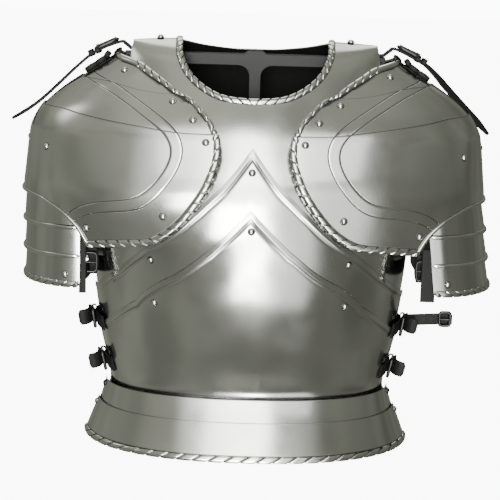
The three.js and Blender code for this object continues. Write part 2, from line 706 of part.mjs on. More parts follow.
/** The shares of a lame line at the stations of a lame, out from the inner edge to the ridge. */
function stations(line) {
  const near = bandDistances.map((distance) => (distance > 0 ? line.shareAway(wholeEdge, distance) : 0));
  const last = near[near.length - 1];
  return [...near, ...ridgeShares.map((share) => last + share * (1 - last))];
}

/**
 * The front half of a lame between two lame lines: first rows square to the inner edge at the band
 * distances, with their ends moved onto the lines, then rows that blend into the shoulder ridge.
 */
function lamePlaces(edgePlaces, startLine, endLine, edgeTicks, grip) {
  const edge = along(pauldron, edgePlaces, edgeTicks);
  const [starts, ends] = [startLine, endLine].map(stations);
  const band = bandDistances.map((distance, k) => {
    const row = distance > 0 ? march(pauldron, edge, distance, 1) : edge;
    const last = row.length - 1;
    const [first, final] = [startLine.at(starts[k]), endLine.at(ends[k])];
    return row.map((q, i) => q.map((value, axis) => {
      const t = edgeTicks[i];
      return value + (first[axis] - row[0][axis]) * (1 - t) ** grip
        + (final[axis] - row[last][axis]) * t ** grip;
    }));
  });
  const inner = band[band.length - 1];
  const [top, bottom] = [startLine.at(1), endLine.at(1)];
  const rest = ridgeShares.map((w, k) => {
    const [first, final] = [startLine, endLine].map((line, n) => line.at([starts, ends][n][band.length + k]));
    const [fromFirst, fromFinal] = [mix(inner[0], top, w), mix(inner[inner.length - 1], bottom, w)];
    return inner.map((q, i) => {
      const t = edgeTicks[i];
      const straight = mix(q, mix(top, bottom, t), w);
      return straight.map((value, axis) => value + (1 - t) * (first[axis] - fromFirst[axis])
        + t * (final[axis] - fromFinal[axis]));
    });
  });
  return { rows: [...band, ...rest], starts };
}

const shell = lamePlaces(innerEdge(waistCorner, innerEdgeRows.length - 1), waistLine, footLine, shellTicks, 5);
const middle = lamePlaces(innerEdge(crestCorner, waistCorner), crestLine, waistLine, middleTicks, 1);

/** Vertices of a lame's front half; its bead fades where the next lame laps over it. */
function lameGrid(rows, raiseAt) {
  return rows.map((row, k) => row.map((q, i) => vertex(pauldron, q, (bandRaises[k] ?? 0) * raiseAt(i))));
}

/** The front half of the top lame: strips from its inner edge down to the crest line, and the hidden lap. */
function topGrid() {
  const tip = 0.06;
  const inner = along(pauldron, innerEdge(0, crestCorner), middle.starts.map((s) => 1 - tip - s * (1 - tip)));
  return inner.map((edge, k) => {
    const line = middle.rows[k][0];
    const span = pauldron.point(edge).distanceTo(pauldron.point(line));
    const marks = [0, 0.4, 0.8, 1].map((share, i) => Math.min(share * rolledEdge.width / span, 0.25 * i));
    return [
      ...marks.map((t, i) => vertex(pauldron, mix(edge, line, t), bandRaises[i] ?? 0)),
      vertex(pauldron, mix(edge, line, (1 + marks[3]) / 2)),
      vertex(pauldron, line),
      vertex(pauldron, middle.rows[k][1]),
    ];
  });
}

/** Both halves of a pauldron lame on one side of the body, hung a little further out or in. */
function bothHalves(grid, sign) {
  const halves = [grid, mirrorGrid(grid, 'y')];
  const sided = sign < 0 ? halves.map((half) => mirrorGrid(half, 'x')) : halves;
  return sided.map((half) => half.map((row) => row.map((v) => {
    return { ...v, point: v.point.clone().setX(v.point.x + pauldronHang) };
  })));
}

/** The three lames of a pauldron. Each laps over the one above it. */
function addPauldron(side, sign) {
  addPlate(`pauldron_top_${side}`, bothHalves(topGrid(), sign));
  const last = middleTicks.length - 1;
  const middleGrid = lameGrid(middle.rows, (i) => (i === last ? 0 : 1))
    .map((row, k) => [...row, vertex(pauldron, shell.rows[k][1])]);
  addPlate(`pauldron_middle_${side}`, bothHalves(middleGrid, sign), layerStep);
  addPlate(`pauldron_shell_${side}`, bothHalves(lameGrid(shell.rows, () => 1), sign), 2 * layerStep);
}

/** The arm lames: half hoops about the upper arm, each inside the one above, with a bead at the foot. */
function addArmLames(side, sign) {
  const halfTurns = shares(10).map((share) => share * Math.PI);
  armLames.forEach(({ name, hang }, order) => {
    const foot = armPivotHeight - hang;
    const bead = order === armLames.length - 1 ? rolledEdge : lameBead;
    const body = new Body([0, armLameLength].map((up) => {
      const shrink = armLameTaper * up / armLameLength;
      const depth = armHalfDepth - shrink;
      return { height: foot + up, width: armHalfWidth - shrink, front: depth, back: depth };
    }), 2);
    const heights = [
      ...beadStations.map(({ along: share }) => () => foot + share * bead.width),
      () => foot + bead.width,
      () => foot + armLameLength,
    ];
    const grid = turnGrid(body, halfTurns, heights, beadStations.map(({ height }) => height * bead.height));
    const geometry = wallGeometry([grid], steelWall, 0);
    const outward = armCentre + armFlare[side] * armPivotHeight;
    const place = new THREE.Matrix4().set(1, 0, -armFlare[side], outward, 0, 1, 0, 0, 0, 0, 1, 0, 0, 0, 0, 1);
    addPiece(`arm_lame_${name}_${side}`, placedGeometry(geometry, place, sign), steel);
  });
}

/** A geometry moved by a matrix on the viewer's right, or mirrored onto the left, hung as the pauldron is. */
function placedGeometry(geometry, matrix, sign) {
  const placed = geometry.clone().applyMatrix4(matrix);
  if (sign < 0) {
    placed.applyMatrix4(new THREE.Matrix4().makeScale(-1, 1, 1));
    const index = placed.index ? placed.index.array : null;
    if (index) {
      for (let i = 0; i < index.length; i += 3) [index[i + 1], index[i + 2]] = [index[i + 2], index[i + 1]];
    }
  }
  placed.translate(pauldronHang, 0, 0);
  placed.computeVertexNormals();
  return placed;
}

// The leather and the buckles

/** A flat band whose middle follows points in the XZ plane, with its width along Y. */
function bandGeometry(points, width, thickness, y = 0) {
  const middle = points.map(([x, z]) => new THREE.Vector3(x, y, z));
  const grid = middle.map((p, i) => {
    const run = middle[Math.min(i + 1, middle.length - 1)].clone().sub(middle[Math.max(i - 1, 0)]);
    const normal = new THREE.Vector3(-run.z, 0, run.x).normalize();
    if (normal.z < 0) normal.negate();
    return [-0.5, 0.5].map((share) => {
      return { point: p.clone().add(new THREE.Vector3(0, share * width, 0)), normal, raise: 0 };
    });
  });
  return wallGeometry([grid], thickness, thickness / 2);
}

/** A buckle frame: a rectangular ring that lies in the XY plane about its middle. */
function frameGeometry({ length, width }) {
  const ring = (inset) => {
    const [x, y] = [length / 2 - inset, width / 2 - inset];
    return [[-x, -y], [x, -y], [x, y], [-x, y]].map(([u, v]) => new THREE.Vector2(u, v));
  };
  const shape = new THREE.Shape(ring(0));
  shape.holes.push(new THREE.Path(ring(buckleBar)));
  const geometry = new THREE.ExtrudeGeometry(shape, { depth: buckleBar, bevelEnabled: false });
  geometry.translate(0, 0, -buckleBar / 2);
  geometry.deleteAttribute('normal');
  geometry.deleteAttribute('uv');
  return mergeVertices(geometry);
}

/** The shoulder strap with its free tail, its buckle, and the chape riveted along the pauldron's crest. */
function addShoulderStrap(side, sign) {
  const none = new THREE.Matrix4();
  const strap = bandGeometry(strapRows, shoulderStrapWidth, leatherThickness);
  addPiece(`shoulder_strap_${side}`, placedGeometry(strap, none, sign), leather);
  const [from, to] = [strapRows[3], strapRows[4]];
  const slope = Math.atan2(to[1] - from[1], to[0] - from[0]);
  const lift = leatherThickness / 2 + pieceGap + buckleBar / 2;
  const place = new THREE.Matrix4().makeTranslation(
    (from[0] + to[0]) / 2 - Math.sin(slope) * lift, 0, (from[1] + to[1]) / 2 + Math.cos(slope) * lift,
  ).multiply(new THREE.Matrix4().makeRotationY(-slope));
  addPiece(`shoulder_buckle_${side}`, placedGeometry(frameGeometry(shoulderBuckle), place, sign), darkIron);
  const chapeStart = pauldronHalfWidth - chapeInward;
  const crest = chapeDrops.map((drop) => {
    const q = [ridgeTurn, pauldron.riseAt(pauldronTop - drop)];
    const p = pauldron.point(q).addScaledVector(pauldron.normal(q), chapeGap + chapeThickness / 2);
    return [p.x, p.z];
  });
  const under = (chapeStart - from[0]) / (to[0] - from[0]);
  const below = (leatherThickness + chapeThickness) / 2 + pieceGap;
  crest.unshift([chapeStart + Math.sin(slope) * below, mix(from, to, under)[1] - Math.cos(slope) * below]);
  const chape = bandGeometry(crest, shoulderStrapWidth, chapeThickness);
  addPiece(`shoulder_chape_${side}`, placedGeometry(chape, none, sign), leather);
}

/** A domed stud on the shoulder end of the chest plate. */
function addStud(side, sign) {
  const radius = studDiameter / 2;
  const dome = [[0, 0], [1, 0], [1, 0.3], [0.7, 0.8], [0, 1]];
  const profile = dome.map(([out, up]) => new THREE.Vector2(out * radius, up * studHeight));
  const geometry = new THREE.LatheGeometry(profile, pivotRivet.sides);
  const stud = joined(geometry);
  stud.rotateX(Math.PI / 2);
  const seat = torso.point([shoulderTurn(torso, studAcross), torso.top]);
  stud.translate(sign * seat.x, 0, seat.z + pieceGap);
  addPiece(`shoulder_stud_${side}`, stud, steel);
}

/** A side strap across the gap between the front and the back plates, and its buckle on the front. */
function addSideStrap(side, sign, level) {
  const centre = sideStrapHeights[level];
  const frontTurnsUsed = frontTurns.slice(-3);
  const turns = [...frontTurnsUsed, Math.PI / 2, ...frontTurnsUsed.map((turn) => Math.PI - turn).reverse()];
  const onFront = 2 * layerStep + pieceGap + leatherThickness + (level === 'upper' ? lipHeight : 0);
  const onBack = -layerStep + pieceGap + leatherThickness;
  const lifts = turns.map((turn) => (turn < Math.PI / 2 ? onFront : onBack));
  lifts[3] = (onFront + onBack) / 2;
  const grid = [-0.5, 0.5].map((share) => turns.map((turn, i) => {
    return vertex(torso, [turn, torso.riseAt(centre + share * sideStrapWidth)], 0, lifts[i]);
  }));
  const strap = wallGeometry([sign < 0 ? mirrorGrid(grid, 'x') : grid], leatherThickness, 0);
  addPiece(`side_strap_${level}_${side}`, strap, leather);
  const seat = vertex(torso, [frontEdgeTurn - 0.02, torso.riseAt(centre)]);
  const out = onFront + pieceGap + buckleBar / 2 + 0.3;
  const p = seat.point.addScaledVector(seat.normal, out);
  const place = new THREE.Matrix4().makeBasis(
    new THREE.Vector3(0, 0, 1).cross(seat.normal).normalize(),
    seat.normal.clone().cross(new THREE.Vector3(0, 0, 1).cross(seat.normal).normalize()),
    seat.normal,
  ).setPosition(p);
  const buckle = placedGeometry(frameGeometry(sideBuckle), place, sign);
  buckle.translate(-pauldronHang, 0, 0);
  addPiece(`side_buckle_${level}_${side}`, buckle, darkIron);
  if (side === 'right' && level === 'upper') {
    const start = p.x + buckleBar + 2 * pieceGap;
    const tail = new THREE.BoxGeometry(tailLength, leatherThickness, 0.8 * sideStrapWidth);
    tail.translate(start + tailLength / 2, p.y, centre + 4);
    tail.deleteAttribute('normal');
    tail.deleteAttribute('uv');
    addPiece('side_strap_tail_right', mergeVertices(tail), leather);
  }
}

/** The strap that closes the open inner side of the arm lames, and its buckle at the front edge. */
function addArmStrap(side, sign) {
  const flare = armFlare[side] * armStrapHang;
  const inset = steelWall + strapSeatShare * armLameTaper + pieceGap + leatherThickness;
  const depth = armHalfDepth - inset;
  const { ends, corners, middle: bow, cornerInset } = armStrapBow;
  const front = [[ends, -depth], [0, -depth], [corners, cornerInset - depth]];
  const middle = [...front, [bow, 0], ...front.map(([x, y]) => [x, -y]).reverse()];
  const grid = [-0.5, 0.5].map((share) => middle.map(([x, y], i) => {
    const next = middle[Math.min(i + 1, middle.length - 1)];
    const last = middle[Math.max(i - 1, 0)];
    const normal = new THREE.Vector3(-(next[1] - last[1]), next[0] - last[0], 0).normalize();
    const z = armPivotHeight - armStrapHang + share * armStrapWidth;
    return { point: new THREE.Vector3(armCentre + flare + x, y, z), normal, raise: 0 };
  }));
  const none = new THREE.Matrix4();
  const strap = wallGeometry([grid], leatherThickness, leatherThickness / 2);
  addPiece(`arm_strap_${side}`, placedGeometry(strap, none, sign), leather);
}

/** The plain stand: a post and a crossbar under the shoulders, on a thin base. */
function addStand() {
  const seat = torso.point([shoulderTurn(torso, saddle.across + saddle.halfWidth), torso.top]).z;
  const padTop = seat - layerStep - steelWall - saddle.gap;
  const [post, bar, low] = [postWidth / 2, barHalfLength, barTop - barHeight];
  const right = [
    [post, baseThickness / 2], [post, low - filletSize], [post + filletSize, low], [bar, low], [bar, barTop],
    [saddle.across + saddle.halfWidth, barTop], [saddle.across + saddle.halfWidth, padTop],
    [saddle.across - saddle.halfWidth, padTop], [saddle.across - saddle.halfWidth, barTop],
    [post + 0.5 * filletSize, barTop], [0.6 * post, barTop + 4],
  ];
  const left = [...right].reverse().map(([x, z]) => [-x, z]);
  const shape = new THREE.Shape([...right, ...left].map(([x, z]) => new THREE.Vector2(x, z)));
  const upright = new THREE.ExtrudeGeometry(shape, { depth: standThickness, bevelEnabled: false });
  upright.rotateX(Math.PI / 2);
  upright.translate(0, standThickness / 2, 0);
  const base = new THREE.BoxGeometry(baseWidth, baseDepth, baseThickness);
  base.translate(0, 0, baseThickness / 2);
  addPiece('display_stand', joined(upright, base), standPaint);
}

/** A closed geometry as a solid that can be joined and cut. */
function solidOf(geometry) {
  geometry.deleteAttribute('normal');
  geometry.deleteAttribute('uv');
  const merged = mergeVertices(geometry);
  return new wasm.Manifold(new wasm.Mesh({
    numProp: 3,
    vertProperties: new Float32Array(merged.attributes.position.array),
    triVerts: new Uint32Array(merged.index.array),
  }));
}

/** A solid as a geometry again. */
function geometryOf(solid) {
  const mesh = solid.getMesh();
  const geometry = new THREE.BufferGeometry();
  geometry.setAttribute('position', new THREE.Float32BufferAttribute(mesh.vertProperties, 3));
  geometry.setIndex([...mesh.triVerts]);
  geometry.computeVertexNormals();
  return geometry;
}

/** One solid from closed geometries. */
const joined = (...geometries) => geometryOf(geometries.map(solidOf).reduce((sum, solid) => sum.add(solid)));

/** A closed geometry with others cut out of it. */
function cut(geometry, ...tools) {
  return geometryOf(tools.map(solidOf).reduce((rest, tool) => rest.subtract(tool), solidOf(geometry)));
}

addBreastplate();
addPlackarts();
addFauld();
addBackplate();
for (const [side, sign] of [['left', -1], ['right', 1]]) {
  addPauldron(side, sign);
  addArmLames(side, sign);
  addShoulderStrap(side, sign);
  addStud(side, sign);
  addSideStrap(side, sign, 'upper');
  addSideStrap(side, sign, 'lower');
  addArmStrap(side, sign);
}
addStand();

export default model;
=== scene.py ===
"""Dresses the steel half armour on its stand: plates, roped edges, rivets, straps, stage and camera.

Every surface is worked out in millimetres on the same bodies as the solid model, as whole numpy arrays,
and becomes a mesh in metres. A place on a body is a pair (turn, rise): turn 0 is the front centre, a right
angle is the side, and rise counts the rows of the body's section table.
"""

import logging
import math
from dataclasses import dataclass, field, replace
from enum import Enum

import bpy
import numpy as np
from mathutils import Matrix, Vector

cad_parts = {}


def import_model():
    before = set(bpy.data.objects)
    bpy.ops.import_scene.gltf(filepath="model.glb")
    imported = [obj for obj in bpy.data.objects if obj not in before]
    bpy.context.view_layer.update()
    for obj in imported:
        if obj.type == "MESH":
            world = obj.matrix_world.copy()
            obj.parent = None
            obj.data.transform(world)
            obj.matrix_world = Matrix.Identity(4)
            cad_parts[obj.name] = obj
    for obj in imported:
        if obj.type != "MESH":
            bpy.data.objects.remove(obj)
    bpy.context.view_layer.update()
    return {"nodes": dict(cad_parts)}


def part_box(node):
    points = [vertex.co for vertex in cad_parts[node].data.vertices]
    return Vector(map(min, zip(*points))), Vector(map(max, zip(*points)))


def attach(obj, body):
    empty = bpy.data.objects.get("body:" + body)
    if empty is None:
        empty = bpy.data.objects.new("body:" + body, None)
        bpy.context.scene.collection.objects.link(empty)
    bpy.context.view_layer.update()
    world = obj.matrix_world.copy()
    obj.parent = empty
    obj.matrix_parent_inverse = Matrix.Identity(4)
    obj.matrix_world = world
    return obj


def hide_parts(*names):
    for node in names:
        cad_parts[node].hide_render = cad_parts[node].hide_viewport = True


LOG = logging.getLogger("half_armour")
Array = np.ndarray
MILLIMETRE = 0.001
STEEL_WALL = 1.5
PLATE_GAP = 0.5
LAYER_STEP = STEEL_WALL + PLATE_GAP
RIM_ROUND = 0.45
CLEARANCE = 0.4
# Index of the near-black finish: blackened steel on the plates' inner faces, darkened further as painted
# shade for the inside of the armour, and painted shade in the strap's holes
SHADE_INSIDE = 1
# How dark the painted shade gets under a roll, at a seam and round a rivet's foot
CREASE_SHADE = 0.95
FAR_FROM_EDGE = 999.0
SHARP_ANGLE = math.radians(33)
X_WAY, Y_WAY, Z_WAY = np.eye(3)
NOTCH_PHASES = np.array([0.0, 0.22, 0.38, 0.45, 0.5, 0.55, 0.62, 0.78])


class Side(Enum):
    """The two sides of the armour as the viewer sees them, with the sign of X."""

    LEFT = -1
    RIGHT = 1

    @property
    def label(self) -> str:
        """The word that ends the names of this side's pieces."""
        return self.name.lower()


class Twist(Enum):
    """Which way the filed notches of a roped edge lean along it."""

    FORWARD = 1
    BACKWARD = -1


def through_rows(values: Array, place: Array) -> Array:
    """A smooth curve through every row of a table.

    Between two rows it blends them in proportion and adds a bend that makes the slopes meet, with one
    straight ghost row beyond each end.

    Args:
        values: The rows, as numbers or as vectors.
        place: Row places, whole at the rows themselves.

    Returns:
        The curve's value at each place.
    """
    values = np.asarray(values, float)
    last = len(values) - 1
    index = np.clip(np.floor(place), 0, last - 1).astype(int)
    t = np.asarray(place, float) - index
    if values.ndim > 1:
        t = t[..., None]
    ghost = np.concatenate([2 * values[:1] - values[1:2], values, 2 * values[-1:] - values[-2:-1]])
    before, a, b, after = (ghost[index + k] for k in range(4))
    bend = (1 - t) * (2 * a - before - b) + t * (2 * b - a - after)
    return b * t + a * (1 - t) + t * (1 - t) * bend / 2


def unit(vectors: Array) -> Array:
    """The vectors at length one."""
    return vectors / np.maximum(np.linalg.norm(vectors, axis=-1, keepdims=True), 1e-9)


def bump(distance: Array, width: float) -> Array:
    """A smooth hill of height one about zero, exp of minus the square of distance over width."""
    return np.exp(-(distance / width) ** 2)


def travelled(points: Array) -> Array:
    """The distance along a line of points at each of them, from nothing at the first."""
    return np.concatenate([[0], np.cumsum(np.linalg.norm(np.diff(points, axis=0), axis=-1))])


def resampled(wanted: Array, ticks: Array, values: Array) -> Array:
    """Vectors at the wanted ticks of a line of vectors, in straight steps between its own ticks."""
    return np.stack([np.interp(wanted, ticks, part) for part in values.T], -1)


def heading(path: Array, closed: bool) -> Array:
    """Unit vectors along a path, from the neighbours of each point."""
    return unit(np.roll(path, -1, 0) - np.roll(path, 1, 0) if closed else np.gradient(path, axis=0))


def circle(count: int) -> Array:
    """Angles in equal steps round a circle, from nothing."""
    return np.arange(count) * 2 * math.pi / count


def squared_oval(angle: Array, power: float) -> tuple[Array, Array]:
    """An oval near a rectangle: cosine and sine, each to a power below one, with their own signs."""
    return tuple(np.sign(part) * np.abs(part) ** power for part in (np.cos(angle), np.sin(angle)))


def mirrored_back(places: Array) -> Array:
    """The same places on the back, as the mirror image over Y = 0."""
    return places * [-1, 1] + [math.pi, 0]


def mirrored_columns(half: Array) -> Array:
    """A grid whose first column lies on the centre line, with its mirror image over X = 0 before it."""
    return np.concatenate([(half[:, 1:] * [-1, 1])[:, ::-1], half], 1)


def level_line(turns: Array, rise: float) -> Array:
    """Places at one rise."""
    return np.stack([turns, np.full_like(turns, rise)], -1)


@dataclass(frozen=True)
class Body:
    """A stack of rounded sections; above the last row it runs over the top to the back."""

    heights: Array
    widths: Array
    fronts: Array
    backs: Array
    roundness: float
    drop: float = 0.0

    @property
    def top(self) -> int:
        """The place of the last row."""
        return len(self.heights) - 1

    def point(self, place: Array) -> Array:
        """Points of the body.

        Each section is a rounded oval: across is width times the sine of the turn to the power two over
        the roundness, and depth is the front or back size times the cosine to the same power.

        Args:
            place: Pairs of turn and rise.

        Returns:
            Points in millimetres.
        """
        turn, rise = place[..., 0], place[..., 1]
        over = rise > self.top
        row = np.where(over, 2 * self.top - rise, rise)
        power = 2 / self.roundness
        across = through_rows(self.widths, row) * np.sign(np.sin(turn)) * np.abs(np.sin(turn)) ** power
        bulge = np.abs(np.cos(turn)) ** power
        behind = over | (np.cos(turn) < 0)
        depth = np.where(behind, through_rows(self.backs, row), -through_rows(self.fronts, row)) * bulge
        near_top = np.maximum(0, 1 - (self.top - row) / 4)
        slope = self.drop * near_top * (across / self.widths[self.top]) ** 2
        return np.stack([across, depth, through_rows(self.heights, row) - slope], -1)

    def normal(self, place: Array) -> Array:
        """Unit normals that point out of the body, from small steps in turn and rise."""
        step = 0.004
        below = np.stack([place[..., 0], np.maximum(0, place[..., 1] - step)], -1)
        right = self.point(place + [step, 0]) - self.point(place - [step, 0])
        up = self.point(place + [0, step]) - self.point(below)
        return unit(np.cross(right, up))

    def rise_at(self, height: Array) -> Array:
        """The rise at which a body has each height, by halving the interval again and again."""
        height = np.asarray(height, float)
        low, high = np.zeros_like(height), np.full_like(height, self.top)
        for _ in range(34):
            middle = (low + high) / 2
            below = through_rows(self.heights, middle) < height
            low, high = np.where(below, middle, low), np.where(below, high, middle)
        return (low + high) / 2

    def place_at(self, across: Array, height: Array) -> Array:
        """The front place with a given X and height."""
        rise = self.rise_at(height)
        share = np.minimum(1, np.abs(across) / through_rows(self.widths, rise))
        return np.stack([np.sign(across) * np.arcsin(share ** (self.roundness / 2)), rise], -1)

    def along(self, places: Array, wanted: Array) -> Array:
        """Places at given shares of the length of a smooth curve through some places."""
        count = 40 * (len(places) - 1)
        track = through_rows(places, np.linspace(0, len(places) - 1, count + 1))
        length = travelled(self.point(track))
        return resampled(np.asarray(wanted) * length[-1], length, track)

    def march(self, curve: Array, distance: float, side: int) -> Array:
        """Moves a curve sideways over the body, square to itself, in steps of a few millimetres."""
        steps = max(1, math.ceil(distance / 4))
        nudge = 0.003
        for _ in range(steps):
            points = self.point(curve)
            tangent = unit(np.gradient(points, axis=0))
            across = np.cross(self.normal(curve), tangent) * side * distance / steps
            by_turn = (self.point(curve + [nudge, 0]) - points) / nudge
            by_rise = (self.point(curve + [0, nudge]) - points) / nudge
            uu, vv = (by_turn ** 2).sum(-1), (by_rise ** 2).sum(-1)
            uv = (by_turn * by_rise).sum(-1)
            ru, rv = (by_turn * across).sum(-1), (by_rise * across).sum(-1)
            scale = 1 / (uu * vv - uv * uv)
            curve = curve + np.stack([(vv * ru - uv * rv) * scale, (uu * rv - uv * ru) * scale], -1)
            inner = curve[1:-1] / 2 + (curve[:-2] + curve[2:]) / 4
            curve = np.concatenate([curve[:1], inner, curve[-1:]])
        return curve


@dataclass(frozen=True)
class Seat:
    """A place for a fitting: its middle, and unit vectors along, across and out of what carries it."""

    centre: Array
    along: Array
    across: Array
    out: Array

    def at(self, along: Array | float, across: Array | float, out: Array | float = 0.0) -> Array:
        """Points at distances from the middle."""
        parts = zip((along, across, out), (self.along, self.across, self.out))
        return self.centre + sum(np.asarray(size, float)[..., None] * way for size, way in parts)


class MeshBuilder:
    """Gathers the parts of one piece in millimetres and makes its mesh object.

    Each vertex also carries two numbers that the finishes read: the painted shade, from 0 on open metal to 1
    where the colour is darkened to stand for the shade in a crease, notch or seam, and border, the distance
    to the edge that a pair of incised lines follows.
    """

    def __init__(self) -> None:
        """Starts with no vertices and no faces."""
        self.vertices: list[Array] = []
        self.faces: list[Array] = []
        self.finishes: list[Array] = []
        # painted shade per vertex: how far the colour is darkened to stand for the shade in creases, notches
        # and seams
        self.painted_shade: list[Array] = []
        self.border: list[Array] = []
        self.count = 0

    def add(self, vertices: Array, faces: list[Array], finish: int = 0, painted_shade: Array | float = 0.0,
            border: Array | float = FAR_FROM_EDGE) -> None:
        """Adds vertices, with arrays of faces that count from the first of them."""
        self.vertices.append(vertices.reshape(-1, 3))
        added = np.zeros(len(self.vertices[-1]))
        self.painted_shade.append(added + painted_shade)
        self.border.append(added + border)
        for block in faces:
            self.faces.append(block + self.count)
            self.finishes.append(np.full(len(block), finish))
        self.count += len(self.vertices[-1])

    def wall(self, points: Array, normals: Array, raised: Array | float = 0.0, layer: float = 0.0,
             painted_shade: Array | float = 0.0, border: Array | float = FAR_FROM_EDGE,
             rim_painted_shade: float = 0.0) -> None:
        """A closed steel wall over a grid of points, with a small round at its rim and a near-black inner
        face that stands partly for blackened steel and partly for painted shade inside the armour.

        The outer face stands off each point by the layer plus the raise, along the normal, and the inner
        face lies the wall's thickness inside the layer.

        Args:
            points: Rows by columns of points.
            normals: Their outward normals.
            raised: Extra height of the outer face.
            layer: Height of the whole wall over the body.
            painted_shade: Painted shade of the outer face: how far its colour is darkened in creases and
                seams.
            border: Distances to the incised edge on the outer face.
            rim_painted_shade: Painted shade of the narrow rim, a dark line of painted shadow along the
                plate's edge.
        """
        rows, columns = points.shape[:2]
        lift = (np.zeros((rows, columns)) + raised + layer)[..., None]
        outer = points + normals * lift
        inner = points + normals * (layer - STEEL_WALL)
        index = np.arange(rows * columns).reshape(rows, columns)
        quads = np.stack([index[:-1, :-1], index[1:, :-1], index[1:, 1:], index[:-1, 1:]], -1).reshape(-1, 4)
        away = np.zeros_like(points)
        away[0] += unit(points[0] - points[1])
        away[-1] += unit(points[-1] - points[-2])
        away[:, 0] += unit(points[:, 0] - points[:, 1])
        away[:, -1] += unit(points[:, -1] - points[:, -2])
        loop = np.concatenate([index[0, :-1], index[:-1, -1], index[-1, :0:-1], index[:0:-1, 0]])
        flat = [a.reshape(-1, 3) for a in (outer, inner, unit(away), normals)]
        near, far, out, up = (a[loop] for a in flat)
        first = near + out * RIM_ROUND - up * STEEL_WALL / 4
        second = far + out * RIM_ROUND + up * STEEL_WALL / 4
        size, ring = rows * columns, len(loop)
        lines = [loop, 2 * size + np.arange(ring), 2 * size + ring + np.arange(ring), size + loop]
        rim = [np.stack([a, np.roll(a, -1), np.roll(b, -1), b], -1) for a, b in zip(lines, lines[1:])]
        mid = (rows // 2, columns // 2)
        across = np.cross(outer[mid[0] + 1, mid[1]] - outer[mid], outer[mid[0], mid[1] + 1] - outer[mid])
        flip = slice(None, None, 1 if across @ normals[mid] > 0 else -1)
        vertices = np.concatenate([flat[0], flat[1], first, second])
        # painted shade: the outer face's values, none on the inner face, and the rim's value on both rim
        # rows
        shade = [(np.zeros((rows, columns)) + painted_shade).ravel(), np.zeros(size), np.full(2 * ring, rim_painted_shade)]
        away_from = [(np.zeros((rows, columns)) + border).ravel(), np.full(size + 2 * ring, FAR_FROM_EDGE)]
        self.add(vertices, [block[:, flip] for block in (quads, *rim)], 0, np.concatenate(shade),
                 np.concatenate(away_from))
        # the inner faces take the near-black finish: blackened steel and painted shade inside the armour
        self.faces.append(quads[:, ::-1][:, flip] + size + self.count - len(vertices))
        self.finishes.append(np.full(len(quads), SHADE_INSIDE))

    def tube(self, rings: Array, closed: bool = False, finish: int = 0,
             painted_shade: Array | None = None) -> None:
        """A tube over a grid of rings by section points, with its ends closed on their centres.

        Args:
            rings: Rings by section points, each ring turning the same way.
            closed: True where the last ring joins the first.
            finish: Index of its material.
            painted_shade: Painted shade values, one for each ring point.
        """
        count, around = rings.shape[:2]
        index = np.arange(count * around).reshape(count, around)
        start, end = (index, np.roll(index, -1, 0)) if closed else (index[:-1], index[1:])
        quads = np.stack([start, end, np.roll(end, -1, 1), np.roll(start, -1, 1)], -1).reshape(-1, 4)
        vertices, blocks = rings.reshape(-1, 3), [quads]
        shade = np.zeros(count * around) if painted_shade is None else painted_shade.ravel()
        if not closed:
            shade = np.concatenate([shade, [0.0, 0.0]])
            centres = rings[[0, -1]].mean(1)
            vertices = np.concatenate([vertices, centres])
            first, last = index[0], index[-1]
            blocks.append(np.stack([first, np.roll(first, -1), np.full(around, count * around)], -1))
            blocks.append(np.stack([np.roll(last, -1), last, np.full(around, count * around + 1)], -1))
        triangles = np.concatenate([vertices[quads[:, [0, 1, 2]]], vertices[quads[:, [0, 2, 3]]]])
        volume = np.einsum("ij,ij->i", triangles[:, 0], np.cross(triangles[:, 1], triangles[:, 2])).sum()
        flip = slice(None, None, 1 if volume > 0 else -1)
        self.add(vertices, [block[:, flip] for block in blocks], finish, shade)

    def strip(self, path: Array, across: Array, width: Array | float, thickness: Array | float,
              closed: bool = False) -> None:
        """A flat band along a path. Each ring is a rounded rectangle: cosine and sine to the power 0.45.

        Args:
            path: Points along its middle.
            across: Unit vectors across it, one for all or one for each point.
            width: Its width, one value or one for each point.
            thickness: Its thickness, in the same way.
            closed: True for a loop.
        """
        across = np.broadcast_to(across, path.shape)
        out = unit(np.cross(heading(path, closed), across))
        corners = 20
        u, v = squared_oval(circle(corners) + math.pi / corners, 0.45)
        half_w, half_t = ((np.zeros(len(path)) + size)[:, None, None] / 2 for size in (width, thickness))
        rings = path[:, None] + across[:, None] * u[:, None] * half_w + out[:, None] * v[:, None] * half_t
        self.tube(rings, closed)

    def rod(self, path: Array, radius: Array | float, plane: Array, closed: bool = False) -> None:
        """A round rod along a path that lies in a plane with the given normal."""
        side = unit(np.cross(heading(path, closed), plane))
        angle = circle(12)
        size = (np.zeros(len(path)) + radius)[:, None, None]
        spokes = np.cos(angle)[:, None] * side[:, None] + np.sin(angle)[:, None] * np.asarray(plane)
        self.tube(path[:, None] + size * spokes, closed)

    def turned(self, profile: Array, seat: Array, axis: Array, sides: int = 20, finish: int = 0) -> None:
        """A turned piece: a profile of radius and height, carried round an axis that stands on a seat."""
        axis = unit(np.asarray(axis, float))
        first = unit(np.cross(axis, X_WAY if abs(axis[0]) < 0.8 else Y_WAY))
        second = np.cross(axis, first)
        angle = circle(sides)
        spokes = np.cos(angle)[:, None] * first + np.sin(angle)[:, None] * second
        rings = seat + profile[:, 0, None, None] * spokes + (profile[:, 1, None] * axis)[:, None]
        self.tube(rings, finish=finish)

